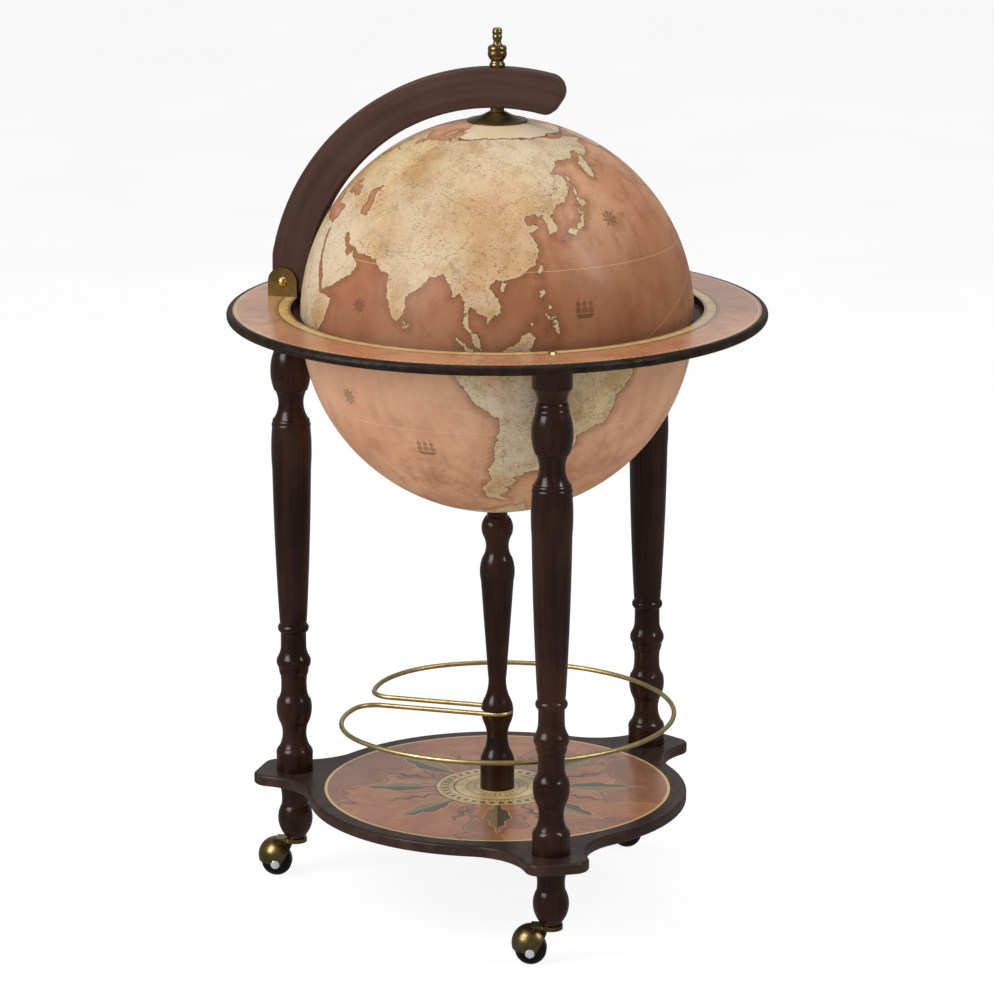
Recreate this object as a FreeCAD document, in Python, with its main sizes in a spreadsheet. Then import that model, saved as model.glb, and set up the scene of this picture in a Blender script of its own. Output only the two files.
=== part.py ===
import FreeCAD, Part
import math
import os
import re
import Sketcher

# Floor globe bar: a globe in a three-legged stand on casters, whose upper half swings open on an arm.
# Millimetres, +Z up, origin on the floor under the globe's axis, hinge towards +Y.

doc = FreeCAD.newDocument("floor_globe_bar")
Vector = FreeCAD.Vector

sizes = {
    # globe halves
    "globe_radius": 200,
    "globe_wall": 3,
    "lid_gap": 0.3,
    "flange_lap": 8,
    "flange_thick": 2.5,
    # horizon ring
    "ring_thick": 10,
    "ring_gap": 10,
    "ring_width": 65,
    "ring_edge_flat": 0.8,
    "rebate_depth": 3.2,
    "rebate_play": 0.3,
    # fits
    "bore_play": 0.05,
    "seat_play": 0.1,
    # fasteners
    "bolt_radius": 3,
    "bolt_grip": 50,
    "bolt_head_radius": 5,
    "bolt_head_thick": 3,
    "bolt_sink": 4,
    "bolt_cap_rise": 2.2,
    "stud_radius": 4,
    "stud_leg_depth": 30,
    "bore_spare": 1,
    "flange_screw_radius": 1.75,
    "flange_screw_grip": 5,
    "flange_screw_head": 3.5,
    "flange_screw_head_thick": 2,
    "flange_screw_edge": 4.5,
    "column_screw_radius": 3,
    "column_screw_grip": 44,
    "column_screw_head": 6.5,
    "column_screw_head_thick": 3,
    # legs, feet and shelf
    "leg_length": 501.8,
    "leg_outset": 4,
    "leg_top_radius": 20.2,
    "leg_shaft_bulge_height": 0.9,
    "leg_base_radius": 19.1,
    "leg_seat_play": 0.5,
    "foot_length": 60.8,
    "foot_core": 2.8,
    "foot_top_radius": 18.6,
    "foot_cove_depth": 2.1,
    "foot_base_radius": 11.3,
    "shelf_thick": 12,
    "shelf_inset": 25,
    "shelf_seat_depth": 1,
    "lobe_over": 39,
    "lobe_half_width": 33,
    "lobe_blend_round": 72,
    "lobe_corner_round": 17,
    "shelf_edge_round": 3,
    # centre column and bottle rail
    "column_base_radius": 17.8,
    "column_top_radius": 10.5,
    "pad_radius": 10.5,
    "pad_thick": 9.3,
    "wire_radius": 2.5,
    "wrap_radius": 14.4,
    "rail_bend_radius": 24,
    "rail_shoulder_radius": 110,
    "rail_shoulder_turn": 53.5,
    "rail_inset": 43,
    "rail_main_shift": 4.5,
    # bar inside the globe
    "tray_drop": 32,
    "tray_thick": 6,
    "tray_edge_round": 1.5,
    "floor_rise": 56.3,
    "floor_thick": 6,
    "bottle_ring_radius": 58,
    "bottle_hole_radius": 43,
    "glass_edge": 8,
    "glass_hole_radius": 31,
    # lid arm and hinge
    "arm_setback": 6,
    "arm_lift": 4.7,
    "arm_gap": 7.3,
    "arm_depth": 40.8,
    "arm_thick": 18,
    "arm_tip_turn": 17.5,
    "arm_tip_slant": 3.3,
    "arm_tip_outer_round": 17,
    "arm_tip_inner_round": 12,
    "arm_toe_round": 10,
    "arm_back_round": 40,
    "arm_edge_round": 2.5,
    "pivot_inset": 16.1,
    "pivot_rise": 15,
    "heel_play": 0.5,
    "ear_half_width": 15.5,
    "bracket_thick": 2.5,
    "bracket_side_play": 0.5,
    "bracket_let_in": 0.6,
    "bracket_seat_play": 0.15,
    "bracket_screw_gap": 0.6,
    "bracket_screw_back": 9,
    "bracket_screw_radius": 2,
    "bracket_screw_grip": 7,
    "bracket_screw_head": 3.4,
    "bracket_screw_sink": 1.5,
    "pin_radius": 4,
    "pin_head_radius": 5.5,
    "pin_head_rise": 3,
    "bush_radius": 6,
    # pole of the lid
    "rod_radius": 4,
    "rod_into_finial": 15,
    "pole_bush_radius": 8,
    "pole_bush_flange": 12,
    "pole_bush_flange_thick": 2,
    "pole_bush_drop": 0.8,
    "cap_radius": 30.5,
    "cap_rim": 1.6,
    "cap_rise": 8,
    "cap_top_radius": 9,
    "cap_dip_depth": 1.2,
    "cap_clear": 0.6,
    "spacer_radius": 7,
    "pole_gap": 0.3,
    "washer_radius": 10,
    "washer_thick": 2,
    "nut_radius": 7.5,
    "nut_thick": 6,
    "rod_end_spare": 2,
    "finial_base_radius": 7.5,
    # casters
    "caster_turn": 12,
    "wheel_radius": 16,
    "wheel_tread_half": 4,
    "wheel_half_width": 11,
    "wheel_side_radius": 11,
    "wheel_crown_height": 1.1,
    "hub_radius": 6,
    "hub_half_width": 12,
    "axle_radius": 3,
    "axle_head_radius": 4.5,
    "axle_head_thick": 2,
    "axle_head_rise": 1.2,
    "axle_sink": 2.2,
    "axle_seat_play": 0.4,
    "hood_lift": 5.8,
    "hood_gap": 2,
    "hood_wall": 1.6,
    "hood_ear_radius": 6,
    "hood_mouth_reach": 17,
    "hood_mouth_rise": 18,
    "collar_radius": 12,
    "collar_thick": 4.5,
    "collar_gap": 0.6,
    "neck_half_width": 8,
    "stem_radius": 4,
    "stem_grip": 26,
    "stem_gap": 0.4,
    "stem_rivet_radius": 5,
    "stem_rivet_thick": 2,
    "socket_radius": 6,
    "socket_depth": 30,
    "socket_flange_radius": 9,
    "socket_flange_thick": 2,
}

# Turned runs: name, length, radius at the far end, bulge of the curve between its ends.
# A run called top is counted downwards, a run called low is counted upwards.
turnings = {
    "leg_top": (
        ("block", 24, 20.2, 0),
        ("cove", 14, 14.7, -1.2),
        ("bead", 6.2, 16.2, 0.6),
        ("ring", 5.2, 17.3, 0.6),
        ("vase", 40.5, 17.5, 3.6),
        ("step", 1.2, 16, 0),
        ("neck", 29, 17.6, -3.7),
        ("collar", 4.5, 19.2, 0.9),
        ("band", 4.5, 19.9, 0.8),
        ("shoulder", 45, 20.2, 1),
    ),
    "leg_low": (
        ("base", 17.5, 19.1, 0),
        ("shoulder", 9, 16.2, 1.3),
        ("waist", 25, 14.3, -2.6),
        ("groove", 1.2, 15, 0),
        ("cup", 25, 17.6, 2.2),
        ("crease", 1.2, 16.6, 0),
        ("flare", 12, 13.6, -0.9),
        ("cove", 14, 14, -0.4),
        ("band", 1, 14.8, 0),
        ("dish", 7.6, 15.9, 0.2),
        ("lip", 1.2, 16.9, 0),
        ("knop", 9, 17.2, 1),
        ("throat", 14, 13.4, -1.1),
        ("neck", 13.5, 13.3, 0),
        ("bead", 9.5, 13.8, 2.7),
        ("fillet", 3.5, 14.35, 0),
    ),
    "foot_low": (
        ("heel", 2, 12.4, 0),
        ("ball", 32, 14.6, 4.7),
    ),
    "column_top": (
        ("lip", 1, 12.2, 0),
        ("cap", 21, 14.2, 3.1),
        ("neck", 23, 15.6, -3.1),
        ("vase", 24, 17, 1.7),
    ),
    "column_low": (
        ("plinth", 25, 17.8, 0),
        ("shoulder", 13, 15.6, 0.9),
        ("cove", 33.5, 14.2, -4),
        ("bead", 24, 14.4, 2.5),
        ("waist", 28, 9.75, -2.3),
    ),
    "finial_low": (
        ("foot", 4, 7.2, 0.6),
        ("neck", 3, 6.5, -0.4),
        ("cup", 3.2, 9, 0.4),
        ("drum", 6, 9, 0.7),
        ("belt", 5, 8.4, 0.8),
        ("cone", 3, 4, -0.8),
        ("waist", 3.2, 4.3, -0.3),
        ("ring", 5, 4.3, 0.6),
        ("knob", 4.4, 4.6, 0.6),
        ("crown", 2.4, 2.2, 0.9),
    ),
}
for stack, rows in turnings.items():
    for name, length, radius, bulge in rows:
        sizes[f"{stack}_{name}_length"] = length
        sizes[f"{stack}_{name}_end"] = radius
        if bulge:
            sizes[f"{stack}_{name}_bulge"] = bulge

# Sizes that follow from the ones above
follows = {
    "ring_hole_radius": "globe_radius + ring_gap",
    "ring_radius": "ring_hole_radius + ring_width",
    "ring_edge_round": "(ring_thick - ring_edge_flat) / 2",
    "flange_radius": "ring_hole_radius + flange_lap",
    "flange_screw_circle": "flange_radius - flange_screw_edge",
    "leg_circle": "flange_radius + leg_outset",
    "shelf_radius": "leg_circle - shelf_inset",
    "lobe_reach": "leg_circle + lobe_over",
    "rail_main_radius": "leg_circle - rail_inset",
    "arm_inner_radius": "globe_radius + arm_gap",
    "arm_outer_radius": "arm_inner_radius + arm_depth",
    "pivot_reach": "arm_outer_radius - arm_setback - pivot_inset",
    "fork_half": "arm_thick / 2 + bracket_side_play",
    "bracket_screw_spread": "2 * (fork_half - bracket_screw_head - bracket_screw_gap)",
    "hood_inner_radius": "wheel_radius + hood_gap",
    "hood_radius": "hood_inner_radius + hood_wall",
    "axle_half_grip": "hood_radius - axle_sink",
    "caster_trail": "hood_radius + stem_gap",
    "caster_height": "wheel_radius + hood_lift + hood_radius + collar_gap + socket_flange_thick",
    "stud_foot_depth": "foot_length - socket_depth - 2 * bore_spare - foot_core",
    "shelf_top": "caster_height + foot_length + shelf_thick",
    "shelf_seat": "shelf_top - shelf_seat_depth",
    "ring_top": "shelf_seat + leg_length + ring_thick",
}

sheet = doc.addObject("Spreadsheet::Sheet", "Sizes")
cells = {name: str(value) for name, value in sizes.items()}
cells.update({name: f"={formula}" for name, formula in follows.items()})
for row, (name, content) in enumerate(cells.items(), start=1):
    sheet.set(f"A{row}", name)
    sheet.setAlias(f"B{row}", name)
    sheet.set(f"B{row}", content)
doc.recompute()

# Places that several pieces share, worked out from the sheet
ring_under = "(ring_top - ring_thick)"
flange_top = "(ring_top - ring_thick + rebate_depth)"
bowl_mid = "(ring_top - ring_thick + rebate_depth - flange_thick)"
lid_mid = "(ring_top - ring_thick + rebate_depth + lid_gap)"
globe_inside = "(globe_radius - globe_wall)"
shelf_under = "(shelf_top - shelf_thick)"
pad_under = f"({bowl_mid} - globe_radius - pad_thick)"
column_length = f"({pad_under} - shelf_seat)"
rail_runs = [f"column_low_{name}_length" for name in ("plinth", "shoulder", "cove")]
rail_rise = f"({' + '.join(rail_runs)} + column_low_bead_length / 2)"
arm_mid = f"({lid_mid} + arm_lift)"
pivot_height = "(ring_top + pivot_rise)"
heel_radius = "(pivot_rise - bracket_thick - heel_play)"
arm_under = f"({arm_mid} + sqrt(arm_inner_radius^2 - arm_setback^2))"
arm_over = f"({arm_mid} + sqrt(arm_outer_radius^2 - arm_setback^2))"
cap_base = f"({lid_mid} + sqrt((globe_radius + seat_play)^2 - cap_radius^2))"
cap_top = f"({cap_base} + cap_rim + cap_rise)"
bush_under = f"({lid_mid} + {globe_inside} - pole_bush_drop - pole_bush_flange_thick)"
washer_under = f"({bush_under} - pole_gap - washer_thick)"
nut_under = f"({washer_under} - nut_thick)"
collar_top = "(wheel_radius + hood_lift + hood_radius)"
collar_under = f"({collar_top} - collar_thick)"
hood_mid = "(wheel_radius + hood_lift)"
bracket_spots = [(f"{side} * bracket_screw_spread / 2", "pivot_reach + bracket_screw_back")
                 for side in (-1, 1)]

legs = {name: 90 + 120 * index for index, name in enumerate(("back", "left", "right"))}
nodes = []


def tied(text):
    # An expression in plain size names becomes one that reads the sheet
    return re.sub(r"[A-Za-z_]\w*", lambda word: f"Sizes.{word[0]}" if word[0] in cells else word[0], text)


def size(text):
    return float(sheet.evalExpression(tied(text)))


def newBody(label):
    body = doc.addObject("PartDesign::Body", label)
    body.Label = label
    return body


def place(item, x, y, z, axis=(0, 0, 1), angle="0"):
    item.Placement = FreeCAD.Placement(Vector(), FreeCAD.Rotation(Vector(*axis), size(angle)))
    for letter, text in zip("xyz", (x, y, z)):
        item.setExpression(f"Placement.Base.{letter}", tied(text))
    return item


def node(item):
    nodes.append(item)
    return item


def group(label, members):
    bundle = doc.addObject("Part::Compound", label)
    bundle.Label = label
    bundle.Links = members
    return node(bundle)


def polar(circle, angle):
    return f"{circle} * cos({angle})", f"{circle} * sin({angle})"


def sketchOn(body, name, plane, offset="0"):
    sketch = body.newObject("Sketcher::SketchObject", name)
    face = [item for item in body.Origin.OriginFeatures if item.Role == plane][0]
    sketch.AttachmentSupport = [(face, "")]
    sketch.MapMode = "FlatFace"
    sketch.setExpression("AttachmentOffset.Base.z", tied(offset))
    return sketch


def arcBetween(start, end, bulge):
    # The arc from start to end that stands off its chord by bulge, to the left of the way it runs
    chord = end - start
    radius = chord.Length ** 2 / (8 * abs(bulge)) + abs(bulge) / 2
    left = Vector(-chord.y, chord.x, 0).normalize()
    middle = (start + end) / 2 + left * (bulge - math.copysign(radius, bulge))
    ends = (end, start) if bulge > 0 else (start, end)
    turns = [math.atan2(point.y - middle.y, point.x - middle.x) for point in ends]
    return Part.ArcOfCircle(Part.Circle(middle, Vector(0, 0, 1), radius), *turns)


def outline(sketch, points):
    # A closed outline. Each point is reached by a line, by an arc of a given bulge, or by an arc of
    # a given radius and side. Every corner and radius is bound to the sheet.
    corners = [Vector(size(point[0]), size(point[1]), 0) for point in points]
    edges, limits, ties, ends = [], [], [], []
    for index, point in enumerate(points):
        start, end = corners[index - 1], corners[index]
        before = points[index - 1]
        clockwise = False
        if len(point) == 2:
            edges.append(Part.LineSegment(start, end))
        else:
            if len(point) == 3:
                bulge = size(point[2])
                square = f"(({point[0]}) - ({before[0]}))^2 + (({point[1]}) - ({before[1]}))^2"
                radius = f"({square}) / (8 * abs({point[2]})) + abs({point[2]}) / 2"
            else:
                radius = point[2]
                reach = size(radius)
                bulge = point[3] * (reach - math.sqrt(reach ** 2 - (end - start).Length ** 2 / 4))
            edges.append(arcBetween(start, end, bulge))
            clockwise = bulge > 0
            ties.append((len(limits), radius))
            limits.append(Sketcher.Constraint("Radius", index, size(radius)))
        ends.append((2, 1) if clockwise else (1, 2))
        for way, text, value in (("DistanceX", point[0], end.x), ("DistanceY", point[1], end.y)):
            ties.append((len(limits), text))
            limits.append(Sketcher.Constraint(way, -1, 1, index, ends[index][1], value))
    for index in range(len(points)):
        limits.append(Sketcher.Constraint("Coincident", index - 1 if index else len(points) - 1,
                                          ends[index - 1][1], index, ends[index][0]))
    sketch.addGeometry(edges)
    sketch.addConstraint(limits)
    for number, text in ties:
        sketch.setExpression(f"Constraints[{number}]", tied(text))


def circles(sketch, rounds):
    # Circles as (across, up, radius)
    for across, up, radius in rounds:
        middle = Vector(size(across), size(up), 0)
        index = sketch.addGeometry(Part.Circle(middle, Vector(0, 0, 1), size(radius)))
        limits = (("DistanceX", (-1, 1, index, 3), across), ("DistanceY", (-1, 1, index, 3), up),
                  ("Radius", (index,), radius))
        for way, ends, text in limits:
            number = sketch.addConstraint(Sketcher.Constraint(way, *ends, size(text)))
            sketch.setExpression(f"Constraints[{number}]", tied(text))


def addFeature(body, kind, name, sketch, length=None, **settings):
    feature = body.newObject(f"PartDesign::{kind}", name)
    feature.Profile = sketch
    if kind in ("Revolution", "Groove"):
        feature.ReferenceAxis = (sketch, ["V_Axis"])
        feature.Angle = 360
    if length:
        feature.setExpression("Length", tied(length))
    for setting, value in settings.items():
        setattr(feature, setting, value)
    doc.recompute()
    return feature


def cutFeature(body, kind, name, sketch, length=None, **settings):
    before = body.Shape.Volume
    feature = addFeature(body, kind, name, sketch, length, **settings)
    if body.Shape.Volume >= before - 1e-3:
        raise RuntimeError(f"{name} cuts nothing")
    return feature


def turned(label, points):
    body = newBody(label)
    sketch = sketchOn(body, f"{label}_half", "XZ_Plane")
    outline(sketch, points)
    addFeature(body, "Revolution", f"{label}_turning", sketch)
    return body


def drill(body, name, height, rounds, depth, upwards=False):
    sketch = sketchOn(body, f"{name}_marks", "XY_Plane", height)
    circles(sketch, rounds)
    return cutFeature(body, "Pocket", name, sketch, depth, Reversed=upwards)


def roundEdges(body, name, radius, choose):
    chosen = [f"Edge{number}" for number, edge in enumerate(body.Shape.Edges, start=1) if choose(edge)]
    fillet = body.newObject("PartDesign::Fillet", name)
    fillet.Base = (body.Tip if body.Tip != fillet else fillet.BaseFeature, chosen)
    fillet.setExpression("Radius", tied(radius))
    doc.recompute()
    return fillet


def isUpright(edge):
    first, last = edge.Vertexes[0].Point, edge.Vertexes[-1].Point
    return abs(first.x - last.x) < 1e-4 and abs(first.y - last.y) < 1e-4 and abs(first.z - last.z) > 1e-4


def liesAt(edge, letter, level):
    box = edge.BoundBox
    low, high = getattr(box, f"{letter}Min"), getattr(box, f"{letter}Max")
    return abs(low - level) < 1e-3 and abs(high - level) < 1e-3


def falling(stack, top):
    # Corners of a turned run, counted down from its top
    points, drop = [], ""
    for name, length, radius, bulge in turnings[stack]:
        drop += f" - {stack}_{name}_length"
        arc = (f"{stack}_{name}_bulge",) if bulge else ()
        points.append((f"{stack}_{name}_end", f"{top}{drop}") + arc)
    return points


def rising(stack, base_radius, arrival=()):
    # Corners of a turned run that stands on height 0, listed from its top down to its base
    heights, radii = ["0"], [base_radius]
    for name, length, radius, bulge in turnings[stack]:
        heights.append(f"{heights[-1]} + {stack}_{name}_length")
        radii.append(f"{stack}_{name}_end")
    points = [(radii[-1], heights[-1]) + arrival]
    for index in reversed(range(len(turnings[stack]))):
        name, length, radius, bulge = turnings[stack][index]
        arc = (f"{stack}_{name}_bulge",) if bulge else ()
        points.append((radii[index], heights[index]) + arc)
    return points


def onSphere(centre, radius, across, side):
    # Height of a sphere's surface at a distance from its axis, above the centre or below it
    return f"{centre} {'+' if side > 0 else '-'} sqrt(({radius})^2 - ({across})^2)"


def dome(radius, rise):
    # Radius of a dome of a given rim radius and rise, centred on the axis
    return f"(({radius})^2 + ({rise})^2) / (2 * ({rise}))"


def makeLegs():
    bolt_bore = "(bolt_radius + bore_play)"
    stud_bore = "(stud_radius + bore_play)"
    stud_end = "(stud_leg_depth + bore_spare)"
    bolt_end = "leg_length - bolt_grip - bore_spare"
    points = [(bolt_bore, "leg_length"), ("leg_top_radius", "leg_length")]
    points += falling("leg_top", "leg_length")
    points += rising("leg_low", "leg_base_radius", ("leg_shaft_bulge_height",))
    points += [(stud_bore, "0"), (stud_bore, stud_end), ("0", stud_end)]
    points += [("0", bolt_end), (bolt_bore, bolt_end)]
    for name, angle in legs.items():
        node(place(turned(f"leg_{name}", points), *polar("leg_circle", angle), "shelf_seat"))


def makeFeet():
    stud_bore = "(stud_radius + bore_play)"
    stud_end = "foot_length - stud_foot_depth - bore_spare"
    socket_bore = "(socket_radius + bore_play)"
    socket_end = "(socket_depth + bore_spare)"
    points = [(stud_bore, "foot_length"), ("foot_top_radius", "foot_length")]
    points += rising("foot_low", "foot_base_radius", ("-foot_cove_depth",))
    points += [(socket_bore, "0"), (socket_bore, socket_end), ("0", socket_end), ("0", stud_end),
               (stud_bore, stud_end)]
    sockets, studs = [], []
    bore = "(stem_radius + bore_play)"
    socket_points = [(bore, "socket_depth"), ("socket_radius", "socket_depth"), ("socket_radius", "0"),
                     ("socket_flange_radius", "0"), ("socket_flange_radius", "-socket_flange_thick"),
                     (bore, "-socket_flange_thick")]
    stud_length = "(stud_foot_depth + shelf_thick - shelf_seat_depth + stud_leg_depth)"
    stud_points = [("0", stud_length), ("stud_radius", stud_length), ("stud_radius", "0"), ("0", "0")]
    for name, angle in legs.items():
        spot = polar("leg_circle", angle)
        node(place(turned(f"foot_{name}", points), *spot, "caster_height"))
        sockets.append(place(turned(f"socket_{name}", socket_points), *spot, "caster_height"))
        studs.append(place(turned(f"stud_{name}", stud_points), *spot, f"{shelf_under} - stud_foot_depth"))
    group("stem_sockets", sockets)
    group("leg_studs", studs)


def makeShelf():
    body = newBody("shelf")
    disc = sketchOn(body, "shelf_disc_outline", "XY_Plane", shelf_under)
    circles(disc, [("0", "0", "shelf_radius")])
    addFeature(body, "Pad", "shelf_disc", disc, "shelf_thick")
    lobe = sketchOn(body, "shelf_lobe_outline", "XY_Plane", shelf_under)
    outline(lobe, [("-lobe_half_width", "lobe_reach"), ("lobe_half_width", "lobe_reach"),
                   ("lobe_half_width", "0"), ("-lobe_half_width", "0")])
    lobe_pad = addFeature(body, "Pad", "shelf_lobe", lobe, "shelf_thick")
    lobes = body.newObject("PartDesign::PolarPattern", "shelf_lobes")
    lobes.Originals = [lobe_pad]
    lobes.Axis = (disc, ["N_Axis"])
    lobes.Angle = 360
    lobes.Occurrences = len(legs)
    body.Tip = lobes
    doc.recompute()
    corner = math.hypot(size("lobe_half_width"), size("lobe_reach"))
    inner = size("shelf_radius")

    def standsAt(edge, reach):
        point = edge.Vertexes[0].Point
        return isUpright(edge) and abs(math.hypot(point.x, point.y) - reach) < 1e-3

    straight = "(lobe_reach - lobe_corner_round)"
    room = f"({straight}^2 + lobe_half_width^2 - shelf_radius^2) / (2 * (shelf_radius - lobe_half_width))"
    blend = f"min(lobe_blend_round; 0.98 * {room})"
    roundEdges(body, "lobe_blends", blend, lambda edge: standsAt(edge, inner))
    roundEdges(body, "lobe_corners", "lobe_corner_round", lambda edge: standsAt(edge, corner))
    top, under = size("shelf_top"), size(shelf_under)
    roundEdges(body, "shelf_edges", "shelf_edge_round",
               lambda edge: liesAt(edge, "Z", top) or liesAt(edge, "Z", under))
    spots = [polar("leg_circle", angle) for angle in legs.values()]
    holes = [(*spot, "stud_radius + bore_play") for spot in spots]
    holes.append(("0", "0", "column_screw_radius + bore_play"))
    drill(body, "shelf_holes", "shelf_top", holes, "shelf_thick")
    seats = [(*spot, "leg_base_radius + leg_seat_play") for spot in spots]
    seats.append(("0", "0", "column_base_radius + seat_play"))
    drill(body, "shelf_seats", "shelf_top", seats, "shelf_seat_depth")
    node(body)


def makeRing():
    body = turned("horizon_ring", [
        ("ring_hole_radius", "ring_top"),
        ("ring_radius - ring_edge_round", "ring_top"),
        ("ring_radius", "ring_top - ring_edge_round", "ring_edge_round", 1),
        ("ring_radius", f"{ring_under} + ring_edge_round"),
        ("ring_radius - ring_edge_round", ring_under, "ring_edge_round", 1),
        ("flange_radius + rebate_play", ring_under),
        ("flange_radius + rebate_play", flange_top),
        ("ring_hole_radius", flange_top),
    ])
    spots = [polar("leg_circle", angle) for angle in legs.values()]
    bores = [(*spot, "bolt_radius + bore_play") for spot in spots]
    drill(body, "bolt_holes", "ring_top", bores, "ring_thick")
    sinks = [(*spot, "bolt_head_radius + bore_play") for spot in spots]
    drill(body, "bolt_sinks", "ring_top", sinks, "bolt_sink")
    screw_bore = "flange_screw_radius + bore_play"
    marks = [(*polar("flange_screw_circle", angle), screw_bore) for angle in range(0, 360, 60)]
    drill(body, "flange_screw_holes", flange_top, marks, "flange_screw_grip", True)
    marks = [(*spot, "bracket_screw_radius + bore_play") for spot in bracket_spots]
    drill(body, "bracket_screw_holes", "ring_top", marks, "bracket_screw_grip")
    recess = sketchOn(body, "bracket_recess_outline", "XY_Plane", "ring_top")
    wide = "(fork_half + bracket_thick + bracket_seat_play)"
    front, rear = "ring_hole_radius - ring_gap", "pivot_reach + ear_half_width + bracket_seat_play"
    outline(recess, [(f"-{wide}", rear), (wide, rear), (wide, front), (f"-{wide}", front)])
    cutFeature(body, "Pocket", "bracket_recess", recess, "bracket_let_in")
    node(body)


def makeRingBolts():
    head_top = "bolt_head_thick"
    shank = "-(ring_thick - bolt_sink + bolt_grip)"
    bolt_points = [("0", head_top), ("bolt_head_radius", head_top), ("bolt_head_radius", "0"),
                   ("bolt_radius", "0"), ("bolt_radius", shank), ("0", shank)]
    bolts, caps = [], []
    for name, angle in legs.items():
        spot = polar("leg_circle", angle)
        bolts.append(place(turned(f"bolt_{name}", bolt_points), *spot, "ring_top - bolt_sink"))
    group("leg_bolts", bolts)
    plug = "(bolt_sink - bolt_head_thick)"
    crown = dome("bolt_head_radius", "bolt_cap_rise")
    cap_points = [("0", "bolt_cap_rise"), ("bolt_head_radius", "0", crown, 1),
                  ("bolt_head_radius", f"-{plug}"), ("0", f"-{plug}")]
    for name in ("left", "right"):
        spot = polar("leg_circle", legs[name])
        caps.append(place(turned(f"cap_{name}", cap_points), *spot, "ring_top"))
    group("bolt_caps", caps)


def makeLowerGlobe():
    hole = "(column_screw_radius + bore_play)"
    body = turned("lower_globe", [
        (globe_inside, flange_top),
        ("flange_radius", flange_top),
        ("flange_radius", bowl_mid),
        ("globe_radius", bowl_mid),
        (hole, onSphere(bowl_mid, "globe_radius", hole, -1), "globe_radius", 1),
        (hole, onSphere(bowl_mid, globe_inside, hole, -1)),
        (globe_inside, bowl_mid, globe_inside, -1),
    ])
    screw_bore = "flange_screw_radius + bore_play"
    marks = [(*polar("flange_screw_circle", angle), screw_bore) for angle in range(0, 360, 60)]
    drill(body, "flange_holes", flange_top, marks, "flange_thick")
    node(body)
    grip = "(flange_thick + flange_screw_grip - seat_play)"
    head = "-flange_screw_head_thick"
    points = [("0", grip), ("flange_screw_radius", grip), ("flange_screw_radius", "0"),
              ("flange_screw_head", "0"), ("flange_screw_head", head), ("0", head)]
    screws = [place(turned(f"flange_screw_{angle}", points), *polar("flange_screw_circle", angle), bowl_mid)
              for angle in range(0, 360, 60)]
    group("flange_screws", screws)


def makeColumn():
    bore = "(column_screw_radius + bore_play)"
    grip = "(column_screw_grip + bore_spare)"
    points = [(bore, column_length), ("column_top_radius", column_length)]
    points += falling("column_top", column_length)
    points += rising("column_low", "column_base_radius")
    points += [(bore, "0"), (bore, grip), ("0", grip), ("0", f"{column_length} - {grip}"),
               (bore, f"{column_length} - {grip}")]
    body = turned("centre_column", points)
    slot = sketchOn(body, "rail_slot_half", "XZ_Plane")
    half, outside = "(wire_radius + seat_play)", "wrap_radius + 4 * wire_radius"
    outline(slot, [("wrap_radius", f"{rail_rise} + {half}", half, 1),
                   (outside, f"{rail_rise} + {half}"),
                   (outside, f"{rail_rise} - {half}"),
                   ("wrap_radius", f"{rail_rise} - {half}"),
                   (f"wrap_radius - {half}", rail_rise, half, 1)])
    cutFeature(body, "Groove", "rail_slot", slot)
    node(place(body, "0", "0", "shelf_seat"))
    seat = "(globe_radius + seat_play)"
    node(turned("column_pad", [
        (bore, onSphere(bowl_mid, seat, bore, -1)),
        ("pad_radius", onSphere(bowl_mid, seat, "pad_radius", -1), seat, -1),
        ("pad_radius", pad_under),
        (bore, pad_under),
    ]))
    head = "column_screw_head_thick"

    def screw(name, length):
        return turned(name, [("0", head), ("column_screw_head", head), ("column_screw_head", "0"),
                             ("column_screw_radius", "0"), ("column_screw_radius", f"-{length}"),
                             ("0", f"-{length}")])

    head_seat = onSphere(bowl_mid, globe_inside, "column_screw_head", -1)
    upper = screw("globe_screw", f"({head_seat} - {pad_under} + column_screw_grip)")
    place(upper, "0", "0", head_seat)
    lower = screw("shelf_screw", "(shelf_thick - shelf_seat_depth + column_screw_grip)")
    place(lower, "0", "0", shelf_under, (1, 0, 0), "180")
    group("column_screws", [upper, lower])


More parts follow.
